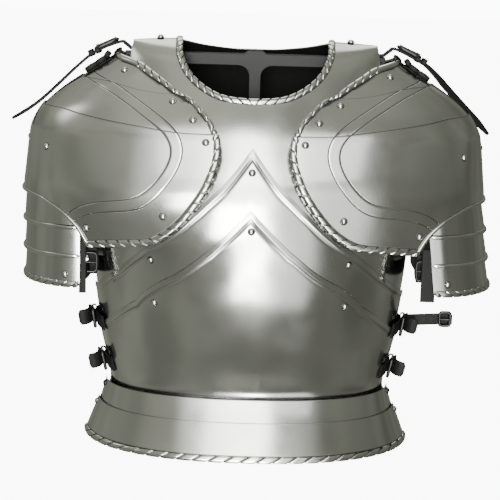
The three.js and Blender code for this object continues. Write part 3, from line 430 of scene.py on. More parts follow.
    def prism(self, outline: Array, low: float, high: float, bevel: float) -> None:
        """A flat outline in X and Z given depth along Y, with its long edges chamfered.

        Args:
            outline: Corner points in order.
            low: The front Y.
            high: The back Y.
            bevel: Size of the chamfer.
        """
        before, after = np.roll(outline, 1, 0), np.roll(outline, -1, 0)
        inward_a = unit(outline - before)[:, ::-1] * [-1, 1]
        inward_b = unit(after - outline)[:, ::-1] * [-1, 1]
        shift = (inward_a + inward_b) / np.maximum(1 + (inward_a * inward_b).sum(-1, keepdims=True), 0.3)
        small = outline + shift * bevel
        levels = [(small, low), (outline, low + bevel), (outline, high - bevel), (small, high)]
        rings = np.stack([np.insert(flat, 1, depth, axis=1) for flat, depth in levels])
        count = len(outline)
        index = np.arange(4 * count).reshape(4, count)
        quads = np.stack([index[:-1], index[1:], np.roll(index[1:], -1, 1), np.roll(index[:-1], -1, 1)], -1)
        area = (outline[:, 0] * after[:, 1] - after[:, 0] * outline[:, 1]).sum()
        flip = slice(None, None, 1 if area < 0 else -1)
        caps = [index[0][None], index[-1][None, ::-1]]
        self.add(rings, [block[:, flip] for block in (quads.reshape(-1, 4), *caps)])

    def build(self, name: str, materials: list[bpy.types.Material], mirror: bool = False,
              hang: float = 0.0) -> bpy.types.Object:
        """Makes the mesh object in metres.

        Args:
            name: Name of the piece.
            materials: Its finishes in the order of the face indices.
            mirror: True to flip the piece over the plane X = 0.
            hang: Shift along X in millimetres, after the flip.

        Returns:
            The new object, linked to the scene.
        """
        vertices = np.concatenate(self.vertices)
        if mirror:
            vertices = vertices * [-1, 1, 1]
        vertices = (vertices + [hang, 0, 0]) * MILLIMETRE
        faces = [face for block in self.faces for face in (block[:, ::-1] if mirror else block).tolist()]
        mesh = bpy.data.meshes.new(name)
        mesh.from_pydata(vertices.tolist(), [], faces)
        mesh.polygons.foreach_set("material_index", np.concatenate(self.finishes).astype(np.int32))
        mesh.polygons.foreach_set("use_smooth", np.ones(len(faces), bool))
        mesh.set_sharp_from_angle(angle=SHARP_ANGLE)
        for label, values in (("painted_shade", self.painted_shade), ("border", self.border)):
            attribute = mesh.attributes.new(label, "FLOAT", "POINT")
            attribute.data.foreach_set("value", np.concatenate(values).astype(np.float32))
        for material in materials:
            mesh.materials.append(material)
        mesh.update()
        piece = bpy.data.objects.new(name, mesh)
        bpy.context.scene.collection.objects.link(piece)
        return piece


@dataclass(frozen=True)
class RolledEdge:
    """A rolled edge that sits on a plate's border, plain or filed into a rope with leaning notches."""

    width: float = 8.5
    height: float = 2.6
    pitch: float = 0.0
    lean: float = 1.25
    depth: float = 0.40
    twist: Twist = Twist.FORWARD
    mirrored: bool = False
    plain_from: float = -1.0
    plain_to: float = -1.0
    end_round: float = 2.2
    notch_width: float = 0.065
    foot_share: float = 0.12
    sides: int = 14

    def add(self, builder: MeshBuilder, path: Array, across: Array, normals: Array) -> None:
        """Adds the roll along a path.

        A ring is an oval in the plane of across and normal. A notch thins it where the distance along the
        path, less the lean times the distance across, passes each whole pitch. The rings lean with the
        notches, so that they stay sharp.

        Args:
            builder: The piece that gets the roll.
            path: Points along the middle of the roll on the plate's outer face.
            across: Unit vectors from the border into the plate.
            normals: Outward normals.
        """
        travel = travelled(path)
        length = travel[-1]
        if self.pitch:
            turns = max(1, round(length / self.pitch))
            start = (np.arange(turns)[:, None] + NOTCH_PHASES).ravel() * length / turns
            start = np.append(start, length)
        else:
            start = np.linspace(0, length, max(3, int(length / 4)))
            start = np.concatenate([[0, 0.5], start[1:-1], [length - 0.5, length]])
        tip = np.sqrt(np.clip(np.minimum(start, length - start) / self.end_round, 0.02, 1))
        angle = circle(self.sides)
        spread = np.cos(angle) * self.width / 2
        lean = self.lean * self.twist.value if self.pitch else 0.0
        ease = np.clip(np.minimum(start, length - start) / (1.2 * self.width), 0, 1)
        if self.mirrored:
            ease = ease * np.clip((start - length / 2) / self.width, -1, 1)
        along = np.clip(start[:, None] - lean * ease[:, None] * spread, 0, length)
        cut = np.zeros_like(start)
        if self.pitch:
            part = (start / length * turns) % 1.0
            cut = self.depth * (bump(part - 0.5, self.notch_width) - 0.06 * bump(part, 0.3))
            inside = (start > self.plain_from) & (start < self.plain_to)
            cut = np.where(inside | (tip < 1), 0.0, cut)
        scale = (tip * (1 - cut))[:, None, None]
        centre, side, up = (resampled(along, travel, values) for values in (path, across, normals))
        lift = self.foot_share * self.height
        climb = np.sin(angle) * (self.height - lift)
        rings = centre + up * lift + scale * (side * spread[:, None] + up * climb[:, None])
        # painted shade: the notches and the roll's two sides, where it meets the plate, are darkened in
        # colour
        notch = np.clip(cut / self.depth, 0, 1)[:, None]
        crease = 0.75 * np.abs(np.cos(angle)) ** 16
        builder.tube(rings, painted_shade=np.clip(notch + crease, 0, 1))

    def add_over(self, builder: MeshBuilder, rows: Array, normals: Array, layer: float = 0.0) -> None:
        """Adds the roll over three rows of points: the plate's edge, the roll's middle and its inner side.

        Args:
            builder: The piece that gets the roll.
            rows: The three rows on the body.
            normals: Outward normals of the middle row.
            layer: Height of the plate's outer face over the body.
        """
        self.add(builder, rows[1] + normals * layer, unit(rows[2] - rows[0]), normals)


@dataclass(frozen=True)
class Rivet:
    """A domed rivet head."""

    diameter: float = 8.2
    height: float = 3.3

    def add(self, builder: MeshBuilder, seat: Array, normal: Array) -> None:
        """Adds the head on a seat: a part of a ball, with a tight edge that sinks into the plate."""
        angle = np.linspace(0, math.pi / 2, 7)
        dome = np.stack([np.cos(angle), np.sin(angle)], -1) * [self.diameter / 2, self.height]
        foot = np.array([[1.16, -0.4], [1.15, 0.12], [1.02, 0.2]]) * [self.diameter / 2, 1]
        profile = np.concatenate([foot, dome[1:-1], [[0.15, self.height]]])
        builder.turned(profile, seat, normal)
        # painted shade: a dark ring round the foot of the head, darkest where it meets the plate
        rise = (builder.vertices[-1] - seat) @ normal
        builder.painted_shade[-1] = np.clip(1.3 - rise / 0.8, 0, CREASE_SHADE)

    def add_on(self, builder: MeshBuilder, body: Body, place: Array, layer: float = 0.0) -> None:
        """Adds the head at a place of a body, on a plate whose outer face is a layer above it."""
        normal = body.normal(place)
        self.add(builder, body.point(place) + normal * layer, normal)


@dataclass(frozen=True)
class TorsoForm:
    """The sizes and section rows of the torso plates, and the bodies that follow from them."""

    height: float = 520
    half_width: float = 203
    depth: float = 161
    back_depth: float = 131
    shoulder_drop: float = 6
    shoulder_half_width: float = 154
    neck_half_width: float = 92
    neck_drop: float = 70
    back_neck_drop: float = 14
    chevron_peaks: tuple[float, float] = (394, 324)
    chevron_falls: tuple[float, float] = (190, 172)
    overlap: float = 34
    armhole_foot: float = 285
    front_edge: float = math.radians(84)
    fauld_edge: float = math.radians(86)
    fauld_top: float = 76
    lower_lame_top: float = 51
    rim_height: float = 5
    fauld_top_half_width: float = 184.3
    fauld_top_depth: float = 104.3
    rim_half_width: float = 212
    rim_depth: float = 139
    skirt_depth: float = 128
    fauld_lap: float = 16
    upper_pivot: float = 69
    lower_pivot: float = 44
    pivot_depth: float = 20
    roundness: float = 2.3

    def rows(self) -> Array:
        """Section rows in millimetres: height, half width, front depth, back depth."""
        shares = np.array([
            [0.119, 0.877, 0.611, 0.725], [0.165, 0.867, 0.596, 0.687], [0.285, 0.931, 0.770, 0.794],
            [0.423, 0.980, 0.925, 0.901], [0.548, 1.000, 1.000, 0.969], [0.673, 0.985, 0.940, 1.000],
            [0.769, 0.936, 0.783, 0.870], [0.865, 0.867, 0.559, 0.660], [0.937, 0.828, 0.373, 0.460],
            [0.973, 0.808, 0.230, 0.300], [0.992, 0.793, 0.106, 0.140], [1.000, 0.788, 0.000, 0.000],
        ])
        return shares * [self.height, self.half_width, self.depth, self.back_depth]

    def front(self) -> Body:
        """The body of the chest and the plackarts."""
        return Body(*self.rows().T, self.roundness, self.shoulder_drop)

    def back(self) -> Body:
        """The body of the backplate, which goes on down as a skirt."""
        skirt = np.array([
            [self.rim_height, self.rim_half_width, self.rim_depth, self.skirt_depth],
            [self.lower_lame_top, 0.915 * self.rim_half_width, self.rim_depth, 0.835 * self.skirt_depth],
        ])
        return Body(*np.concatenate([skirt, self.rows()[1:]]).T, self.roundness, self.shoulder_drop)

    def fauld(self, lower: bool) -> Body:
        """The body of one hoop of the fauld."""
        width, front = self.rim_half_width, self.rim_depth
        if lower:
            offset = LAYER_STEP + 0.3
            rows = [[self.rim_height, width, front, 0],
                    [self.lower_lame_top, 0.904 * width + offset, 0.838 * front + offset, 0]]
        else:
            rows = [[self.lower_lame_top - self.fauld_lap, 0.934 * width, 0.882 * front, 0],
                    [self.lower_lame_top, 0.904 * width, 0.838 * front, 0],
                    [self.fauld_top, self.fauld_top_half_width, self.fauld_top_depth, 0]]
        return Body(*np.array(rows, float).T, self.roundness)

    def chevron(self, which: int, turn: Array) -> Array:
        """The height of a chevron's edge at each turn: 0 is the upper chevron, 1 the lower one."""
        across = ([0, 0.15, 0.30, 0.48, 0.63, 0.78, 1.0], [0, 0.12, 0.23, 0.41, 0.56, 0.69, 1.0])[which]
        down = ([0, 0.20, 0.36, 0.535, 0.655, 0.80, 1.0], [0, 0.145, 0.275, 0.445, 0.555, 0.70, 1.0])[which]
        share = np.minimum(1, np.abs(np.sin(turn)) ** (2 / self.roundness))
        place = np.interp(share, across, np.arange(len(across)))
        return self.chevron_peaks[which] - self.chevron_falls[which] * through_rows(np.array(down), place)

    def neck(self, body: Body, behind: bool) -> Array:
        """The places of a neckline, from the centre to the shoulder ridge."""
        front_rows = [[0, 1], [0.33, 0.97], [0.53, 0.89], [0.73, 0.73], [0.87, 0.54], [0.94, 0.36],
                      [0.98, 0.19], [1, 0]]
        back_rows = [[0, 1], [0.35, 0.95], [0.72, 0.62], [0.92, 0.28], [1, 0]]
        drop = self.back_neck_drop if behind else self.neck_drop
        across, down = np.array(back_rows if behind else front_rows, float).T
        places = body.place_at(across * self.neck_half_width, self.height - down * drop)
        return mirrored_back(places) if behind else places

    def armhole(self, body: Body, behind: bool, top_rise: float, count: int) -> Array:
        """The places of an armhole from the side edge to the shoulder's outer corner."""
        rows = np.array([[0.95, 0.115], [0.88, 0.255], [0.80, 0.425], [0.75, 0.595], [0.76, 0.765],
                         [0.82, 0.915]])
        heights = self.armhole_foot + rows[:, 1] * (self.height - self.armhole_foot)
        corner = math.asin((self.shoulder_half_width / body.widths[body.top]) ** (self.roundness / 2))
        foot = [[self.front_edge, float(body.rise_at(self.armhole_foot))]]
        middle = np.stack([rows[:, 0] * self.front_edge, body.rise_at(heights)], -1)
        places = np.concatenate([foot, middle, [[corner, top_rise]]])
        fine = through_rows(places, np.linspace(0, len(places) - 1, count + 1))[1:]
        return mirrored_back(fine) if behind else fine


@dataclass(frozen=True)
class Finishes:
    """The materials that the pieces share."""

    steel: bpy.types.Material
    lining: bpy.types.Material
    leather: bpy.types.Material
    iron: bpy.types.Material
    paint: bpy.types.Material


@dataclass
class Cuirass:
    """The chest plate, the two plackarts, the fauld and the backplate."""

    form: TorsoForm = field(default_factory=TorsoForm)
    neck_rope: RolledEdge = RolledEdge(pitch=11.5, lean=1.0, mirrored=True)
    fauld_rope: RolledEdge = RolledEdge(pitch=20.0, lean=1.3, depth=0.34, twist=Twist.BACKWARD)
    back_bead: RolledEdge = RolledEdge(width=7.0, height=1.8)
    flange: float = 5.0
    flange_height: float = 0.8
    groove_at: float = 9.5
    groove_reach: tuple[float, float] = (70.0, 55.0)
    plackart_columns: int = 150
    plackart_rivets: tuple[tuple[tuple[float, float], ...], ...] = (
        ((0.1, 367.0), (-118.0, 258.5), (118.0, 259.0)), ((1.0, 300.3), (-113.0, 204.5), (115.5, 205.8)),
    )
    rivet: Rivet = Rivet()
    front_lap: tuple[float, ...] = (0.1, 0.2, 0.3, 0.4, 0.5)
    back_lap: tuple[float, ...] = (-0.35, -0.2, -0.1, 0.0, 0.1, 0.2)

    def fan(self, body: Body, behind: bool, foot: Array, top_rise: float) -> Array:
        """The places of a half plate that spreads from a neckline to its foot, side and armhole.

        Args:
            body: The body that it lies on.
            behind: True for the backplate.
            foot: Places of its lower edge, from the centre to the side.
            top_rise: The rise of its end on the shoulder.

        Returns:
            Rows by columns of places, the first rows within the roped edge.
        """
        form = self.form
        side_count, armhole_count = 14, 40
        side_turn = math.pi - form.front_edge if behind else form.front_edge
        climb = np.linspace(foot[-1, 1], float(body.rise_at(form.armhole_foot)), side_count + 1)[1:]
        side = np.stack([np.full(side_count, side_turn), climb], -1)
        border = np.concatenate([foot, side, form.armhole(body, behind, top_rise, armhole_count)])
        ticks = np.concatenate([
            np.linspace(0, 0.35, len(foot)), np.linspace(0.35, 0.5, side_count + 1)[1:],
            np.linspace(0.5, 1, armhole_count + 1)[1:],
        ])
        neck = form.neck(body, behind)
        neck[-1, 1] = top_rise
        edge = body.along(neck, ticks)
        centre = math.pi if behind else 0.0
        near = []
        for distance in (0.0, self.neck_rope.width / 2, self.neck_rope.width, self.neck_rope.width + 1.2):
            line = body.march(edge, distance, 1 if behind else -1) if distance else edge.copy()
            line[0, 0], line[-1, 1] = centre, edge[-1, 1]
            near.append(line)
        shares = np.linspace(0, 1, 84)[1:, None, None]
        spread = near[-1] * (1 - shares) + border * shares
        return np.concatenate([near, spread])

    def breastplate(self) -> MeshBuilder:
        """The chest plate with its roped neckline and its laps over the shoulder ridge."""
        form, body = self.form, self.form.front()
        turns = np.linspace(0, form.front_edge, 60)
        foot = np.stack([turns, body.rise_at(form.chevron(0, turns) - form.overlap)], -1)
        half = self.fan(body, False, foot, body.top)
        over = np.stack([level_line(half[:, -1, 0], body.top + rise) for rise in self.front_lap], 1)
        places = mirrored_columns(np.concatenate([half, over], 1))
        points, normals = body.point(places), body.normal(places)
        # painted shade: the rows under the roped neck edge are darkened in colour
        under_roll = np.arange(1, len(points))[:, None] < 3
        builder = MeshBuilder()
        builder.wall(points[1:], normals[1:], painted_shade=CREASE_SHADE * under_roll)
        self.neck_rope.add_over(builder, points[:3], normals[1])
        return builder

    def plackart(self, which: int) -> MeshBuilder:
        """A chevron plate: 0 is the upper plackart, 1 the lower one.

        Below its edge the plate climbs over the flange to a ridge, falls back, and has a groove that
        fades away from the peak. Distances are square to the edge, so each row lies below the edge by
        the distance times the edge's own steepness.
        """
        form, body = self.form, self.form.front()
        turns = np.linspace(-form.front_edge, form.front_edge, self.plackart_columns + 1)
        top = form.chevron(which, turns)
        edge = body.point(np.stack([turns, body.rise_at(top)], -1))
        half = self.plackart_columns // 2
        run = np.concatenate([np.gradient(edge[:half + 1], axis=0), np.gradient(edge[half:], axis=0)[1:]])
        steep = np.linalg.norm(run, axis=-1) / np.maximum(np.linalg.norm(run[:, :2], axis=-1), 1e-6)
        steep[half] = max(steep[half - 1], steep[half + 1])
        marks = [0, 0.35, 1.6, 3.2, self.flange - 0.6, self.flange, self.flange + 0.6, self.flange + 1.8,
                 self.groove_at - 1.4, self.groove_at - 0.7, self.groove_at, self.groove_at + 0.7,
                 self.groove_at + 1.5, 13.0, 16.0]
        below = top - np.array(marks)[:, None] * steep
        if which == 0:
            foot = form.chevron(1, turns) - form.overlap
        else:
            foot = np.full_like(turns, float(body.heights[0]))
        rest = np.linspace(0, 1, 60)[1:, None]
        heights = np.concatenate([below, below[-1] * (1 - rest) + foot * rest])
        distance = np.concatenate([marks, np.full(len(rest), 99.0)])[:, None]
        slope = np.clip(distance / self.flange, 0, 1) * self.flange_height
        fall = np.clip(1 - (distance - self.flange) / 2.4, 0, 1)
        fade = bump(edge[:, 0], self.groove_reach[which])
        raised = np.where(distance <= self.flange, 0.35 * self.flange_height + 0.65 * slope,
                          self.flange_height * fall * fall * (3 - 2 * fall))
        raised = raised - 0.55 * bump(distance - self.groove_at, 0.9) * (0.25 + 0.75 * fade)
        places = np.stack([np.broadcast_to(turns, heights.shape), body.rise_at(heights)], -1)
        # painted shade: the groove and the foot of the flange are darkened in colour, and the rim gets a
        # line of painted shadow
        creases_shaded = 0.75 * bump(distance - self.groove_at, 0.8) * (0.2 + 0.8 * fade)
        creases_shaded = creases_shaded + 0.5 * bump(distance - self.flange - 1.9, 0.8)
        builder = MeshBuilder()
        builder.wall(body.point(places), body.normal(places), raised, (which + 1) * LAYER_STEP, creases_shaded,
                     rim_painted_shade=0.8)
        for spot in self.plackart_rivets[which]:
            self.rivet.add_on(builder, body, body.place_at(*map(np.array, spot)), (which + 1) * LAYER_STEP)
        return builder

    def fauld_lame(self, lower: bool) -> MeshBuilder:
        """A hoop of the fauld; the lower one ends in a roped rim."""
        form, body = self.form, self.form.fauld(lower)
        turns = np.linspace(-form.fauld_edge, form.fauld_edge, 141)
        low = form.rim_height if lower else form.lower_lame_top - form.fauld_lap
        high = form.lower_lame_top if lower else form.fauld_top
        width = self.fauld_rope.width
        marks = [low + width / 2, low + width, low + width + 1.1] if lower else [low]
        heights = np.concatenate([marks[:-1], np.linspace(marks[-1], high - 1.3, 14), [high]])
        places = np.stack(np.meshgrid(turns, body.rise_at(heights)), -1)
        # painted shade: the rows under the roped rim and the top row at the lap are darkened in colour, and
        # the rim gets painted shadow
        creases_shaded = CREASE_SHADE * ((heights <= low + width) & lower | (heights == high))[:, None]
        builder = MeshBuilder()
        builder.wall(body.point(places), body.normal(places), painted_shade=creases_shaded, rim_painted_shade=0.7)
        if lower:
            rises = body.rise_at(low + np.array([0.0, width / 2, width]))
            lines = np.stack([level_line(turns, rise) for rise in rises])
            self.fauld_rope.add_over(builder, body.point(lines), body.normal(lines[1]))
            for side in Side:
                self.seat_end_rivet(builder, body, side, form.lower_pivot)
        return builder

    def seat_end_rivet(self, builder: MeshBuilder, body: Body, side: Side, height: float) -> None:
        """Adds the rivet that a hoop swings on, near its end."""
        rise = body.rise_at(np.array(height))
        share = self.form.pivot_depth / through_rows(body.fronts, rise)
        turn = side.value * np.arccos(share ** (body.roundness / 2))
        self.rivet.add_on(builder, body, np.stack([turn, rise], -1))

    def backplate(self) -> MeshBuilder:
        """The backplate: a fan from the low neckline down to the skirt's rim, with a turned neck edge."""
        form, body = self.form, self.form.back()
        turns = math.pi - np.linspace(0, form.front_edge, 60)
        half = self.fan(body, True, level_line(turns, 0.0), body.top - 0.5)
        across = body.point(half[:, -1])[:, 0]
        steps = []
        for rise in self.back_lap:
            row = body.top + rise
            width = through_rows(body.widths, np.array(min(row, 2 * body.top - row)))
            turn = np.arcsin(np.minimum(1, across / width) ** (form.roundness / 2))
            steps.append(level_line(math.pi - turn if rise < 0 else turn, row))
        places = mirrored_columns(np.concatenate([half, np.stack(steps, 1)], 1))
        points, normals = body.point(places), body.normal(places)
        builder = MeshBuilder()
        builder.wall(points, normals, layer=-LAYER_STEP)
        self.back_bead.add_over(builder, points[:3], normals[1], -LAYER_STEP)
        return builder


@dataclass
class Pauldron:
    """The three lames of a shoulder piece, on one body, with roped inner edges and double border lines."""

    half_width: float = 290
    depth: float = 158
    top: float = 508
    hang: float = 3
    crest_corner: int = 4
    waist_corner: int = 8
    rope: RolledEdge = RolledEdge(width=9.2, height=3.2, pitch=14.0, twist=Twist.BACKWARD)
    foot_bead: RolledEdge = RolledEdge(width=5.5, height=2.4)
    rivet: Rivet = Rivet()
    plain_reach: float = 56.0
    softness: float = 6.0
    true_within: float = 20.0
    level_distance: float = 49.0
    ridge_steps: int = 28
    shell_rivets: tuple[tuple[float, float], ...] = ((58.5, 399.5), (106.0, 314.5), (198.5, 293.8),
                                                     (252.5, 384.0), (287.5, 388.0))
    middle_rivets: tuple[tuple[float, float], ...] = ((100.5, 444.2), (75.0, 424.2))
    crest_rivets: tuple[tuple[float, float], ...] = ((163.5, 478.2),)

    def __post_init__(self) -> None:
        """Works out the body, the inner edge and the lame lines."""
        shares = np.array([
            [0.400, 1.000, 0.940], [0.530, 1.000, 0.975], [0.640, 1.000, 1.000], [0.703, 0.990, 0.965],
            [0.777, 0.976, 0.870], [0.809, 0.962, 0.815], [0.848, 0.920, 0.725], [0.886, 0.848, 0.620],
            [0.919, 0.766, 0.532], [0.951, 0.683, 0.430], [1.000, 0.566, 0.234], [1.040, 0.470, 0.080],
        ])
        height, width, front = (shares * [self.top, self.half_width, self.depth]).T
        self.body = Body(height, width, front, front, 2.4)
        across, up = np.array([
            [0.586, 0.990], [0.517, 0.964], [0.445, 0.943], [0.366, 0.917], [0.297, 0.891],
            [0.255, 0.880], [0.210, 0.856], [0.174, 0.834], [0.147, 0.804], [0.138, 0.764],
            [0.159, 0.713], [0.207, 0.659], [0.269, 0.612], [0.341, 0.573], [0.421, 0.548],
            [0.517, 0.541], [0.607, 0.536], [0.679, 0.531],
        ]).T
        self.edge = self.body.place_at(across * self.half_width, up * self.top)
        self.edge[0, 0] = math.pi / 2
        self.whole_edge = self.body.point(self.body.along(self.edge, np.linspace(0, 1, 300)))
        last = len(self.edge) - 1
        crest = [[0, 0.891], [0.10, 0.891], [0.20, 0.896], [0.42, 0.911], [0.60, 0.916], [1, 0.919]]
        waist = [[0, 0.804], [0.10, 0.805], [0.20, 0.813], [0.38, 0.827], [0.50, 0.836], [0.65, 0.845],
                 [1, 0.848]]
        foot = [[0, 0.531], [0.05, 0.561], [0.10, 0.583], [0.22, 0.612], [0.35, 0.628], [0.50, 0.638],
                [1, 0.640]]
        self.crest_line = self.lame_line(self.crest_corner, crest)
        self.waist_line = self.lame_line(self.waist_corner, waist)
        self.foot_line = self.lame_line(last, foot)
        ridge = np.linspace(self.edge[0], self.crest_line[-1], 8)
        self.ridge_line = self.body.along(ridge, np.linspace(0, 1, 401))

    def lame_line(self, corner: int, rows: list[list[float]]) -> Array:
        """A fine track over the pauldron from a corner of its inner edge to the ridge."""
        share, up = np.array(rows, float).T
        start = self.edge[corner]
        turn = start[0] + share * (math.pi / 2 - start[0])
        places = np.stack([turn, self.body.rise_at(up * self.top)], -1)
        places[0] = start
        return self.body.along(places, np.linspace(0, 1, 401))

    def distances(self) -> Array:
        """The rows of a lame's rolled border, by their distance from the inner edge."""
        width = self.rope.width
        return np.array([0.0, width / 2, width, width + 1.2])

    def ridge_shares(self) -> Array:
        """The shares of the way to the ridge at which the later rows of a lame lie."""
        return np.linspace(0, 1, self.ridge_steps + 1)[1:]

    def stations(self, track: Array) -> Array:
        """The shares of a lame line at which each row of a lame starts."""
        points = self.body.point(track)
        gap = np.linalg.norm(points[:, None] - self.whole_edge, axis=-1).min(1)
        gap[0] = 0
        reach = np.maximum.accumulate(gap)
        rising = reach + np.arange(len(reach)) * 1e-9
        near = np.interp(self.distances(), rising, np.linspace(0, 1, len(reach)))
        return np.concatenate([near, near[-1] + self.ridge_shares() * (1 - near[-1])])

    def lame(self, corners: tuple[int, int], start: Array, end: Array, columns: int, grip: float) -> Array:
        """The places of the front half of a lame between two lines.

        The border rows are the inner edge moved inwards by their distances, with their ends pulled onto
        the two lines. The later rows blend into the ridge, with the gaps at both ends spread evenly.

        Args:
            corners: First and last row of the inner edge.
            start: Track of the line above.
            end: Track of the line below.
            columns: Steps along the edge.
            grip: How far the pull at the ends reaches; a higher value reaches less.

        Returns:
            Rows by columns of places, from the inner edge to the ridge.
        """
        ticks = np.linspace(0, 1, columns + 1)
        edge = self.body.along(self.edge[corners[0]:corners[1] + 1], ticks)
        firsts, finals = (resampled(self.stations(track), np.linspace(0, 1, len(track)), track)
                          for track in (start, end))
        band = []
        near, far = ((1 - ticks) ** grip)[:, None], (ticks ** grip)[:, None]
        for row, distance in enumerate(self.distances()):
            line = self.body.march(edge, distance, 1) if distance else edge
            band.append(line + (firsts[row] - line[0]) * near + (finals[row] - line[-1]) * far)
        inner, top, bottom = band[-1], start[-1], end[-1]
        rest, t = [], ticks[:, None]
        for step, w in enumerate(self.ridge_shares()):
            first, final = firsts[len(band) + step], finals[len(band) + step]
            straight = inner * (1 - w) + (top * (1 - t) + bottom * t) * w
            miss_first = first - (inner[0] * (1 - w) + top * w)
            miss_final = final - (inner[-1] * (1 - w) + bottom * w)
            rest.append(straight + (1 - t) * miss_first + t * miss_final)
        return np.array(band + rest)

    def border_distance(self, points: Array) -> Array:
        """How far each point lies from the inner edge; both halves measure to the front one.

        Away from the edge it is a soft minimum, so that lines drawn at a distance turn their corners
        in curves. At the level distance from a straight edge it equals the true one.
        """
        front = points * [1, 0, 1] - np.abs(points) * [0, 1, 0]
        edge = np.concatenate([self.whole_edge[::-1] * [1, -1, 1], self.whole_edge])
        gaps = np.linalg.norm(front[..., None, :] - edge, axis=-1)
        nearest = gaps.min(-1)
        crowd = np.exp((nearest[..., None] - gaps) / self.softness).sum(-1)
        spacing = np.linalg.norm(edge[-1] - edge[-2])
        usual = math.sqrt(2 * math.pi * self.level_distance * self.softness) / spacing
        return np.where(nearest < self.true_within, nearest, nearest - self.softness * np.log(crowd / usual))

    def add_rivets(self, builder: MeshBuilder, spots: tuple[tuple[float, float], ...],
                   layer: float) -> None:
        """Adds rivets at each X and height, on the front and on the back."""
        for spot in spots:
            place = self.body.place_at(*map(np.array, spot))
            self.rivet.add_on(builder, self.body, place, layer)
            self.rivet.add_on(builder, self.body, mirrored_back(place), layer)

    def add_ropes(self, builder: MeshBuilder, half: Array, layer: float) -> None:
        """Adds the roped edge over the first three rows of a half lame, in front and behind."""
        for grid in (half, mirrored_back(half)):
            self.rope.add_over(builder, self.body.point(grid[:3]), self.body.normal(grid[1]), layer)

    def shell(self) -> MeshBuilder:
        """The large lower lame, with a bead along its foot."""
        last, layer = len(self.edge) - 1, 2 * LAYER_STEP
        half = self.lame((self.waist_corner, last), self.waist_line, self.foot_line, 110, 8)
        places = np.concatenate([half, mirrored_back(half[-2::-1])])
        builder = MeshBuilder()
        self.plate(builder, places[1:-1], layer)
        self.add_rivets(builder, self.shell_rivets, layer)
        self.add_ropes(builder, half, layer)
        foot, normals = self.body.point(places[:, [-1, -4]]), self.body.normal(places[:, -1])
        across = unit(foot[:, 1] - foot[:, 0])
        path = foot[:, 0] + normals * layer + across * self.foot_bead.width * 0.4
        self.foot_bead.add(builder, path, across, normals)
        return builder

    def middle(self) -> MeshBuilder:
        """The middle lame; its foot runs on under the shell."""
        half = self.lame((self.crest_corner, self.waist_corner), self.crest_line, self.waist_line, 34, 1)
        places = np.concatenate([half, mirrored_back(half[-2::-1])])
        reach = places[:, -1] + 2.2 * (places[:, -1] - places[:, -2])
        builder = MeshBuilder()
        self.plate(builder, np.concatenate([places, reach[:, None]], 1)[1:-1], LAYER_STEP)
        self.add_rivets(builder, self.middle_rivets, LAYER_STEP)
        self.add_ropes(builder, half, LAYER_STEP)
        return builder

    def plate(self, builder: MeshBuilder, places: Array, layer: float, seam: bool = True) -> None:
        """Adds the wall of a lame, with its border distances and painted shade at its roped edge and seam.
        """
        points = self.body.point(places)
        border = self.border_distance(points)
        # painted shade: the rows under the rope and the column at the seam are darkened in colour, and the
        # rim gets painted shadow
        creases_shaded = CREASE_SHADE * (border < self.rope.width + 0.3)
        if seam:
            creases_shaded[:, 0] = 1.0
        builder.wall(points, self.body.normal(places), 0.0, layer, creases_shaded, border, 0.9)

    def crest(self) -> MeshBuilder:
        """The top lame, between the neck side of the ridge and the crest line."""
        half = self.lame((0, self.crest_corner), self.ridge_line, self.crest_line, 40, 2)[:-1]
        both = np.concatenate([mirrored_back(half[:, :0:-1]), half], 1)
        builder = MeshBuilder()
        self.plate(builder, both[1:], 0.0, seam=False)
        self.add_rivets(builder, self.crest_rivets, 0.0)
        rows = self.body.point(both[:3])
        middle, reach = travelled(rows[1])[-1] / 2, self.plain_reach
        rope = replace(self.rope, plain_from=middle - reach, plain_to=middle + reach)
        rope.add_over(builder, rows, self.body.normal(both[1]))
        return builder


@dataclass
class ArmLames:
    """The three half hoops over the upper arm."""

    centre: float = 213
    half_width: float = 81.3
    half_depth: float = 92
    pivot_height: float = 325.12
    hangs: tuple[tuple[str, float], ...] = (("upper", 41), ("middle", 77), ("lower", 114))
    length: float = 52
    taper: float = 3.4
    flare: dict[Side, float] = field(default_factory=lambda: {Side.LEFT: 0.0, Side.RIGHT: 0.12})
    bead: RolledEdge = RolledEdge(width=5.5, height=2.4)
    rope: RolledEdge = RolledEdge(pitch=13.0)
    rivet: Rivet = Rivet()
    rivet_turn: float = 0.23
    rivet_rise: float = 0.31

    def lame(self, side: Side, hang: float, roped: bool) -> MeshBuilder:
        """One hoop: a half oval that narrows upwards and leans with its side's flare."""
        foot = self.pivot_height - hang
        low = np.array([foot, self.half_width, self.half_depth])
        rows = np.stack([low, low + [self.length, -self.taper, -self.taper]])
        body = Body(*rows.T, rows[:, 2], 2.0)
        style = self.rope if roped else self.bead
        turns = np.linspace(0, math.pi, 73)
        heights = np.linspace(style.width / 2, self.length, 12)
        flare = self.flare[side]

        def placed(places: Array) -> Array:
            points = body.point(places)
            points[..., 0] += self.centre + flare * (self.pivot_height - points[..., 2])
            return points

        places = np.stack(np.meshgrid(turns, heights / self.length), -1)
        builder = MeshBuilder()
        # painted shadow: the rim is darkened in colour along the lame's edge
        builder.wall(placed(places), body.normal(places), rim_painted_shade=0.5)
        lines = np.stack([level_line(turns, d / self.length) for d in (0.0, style.width / 2, style.width)])
        style.add_over(builder, placed(lines), body.normal(lines[1]))
        if roped:
            for turn in (self.rivet_turn, math.pi - self.rivet_turn):
                spot = np.array([turn, self.rivet_rise])
                self.rivet.add(builder, placed(spot), body.normal(spot))
        return builder


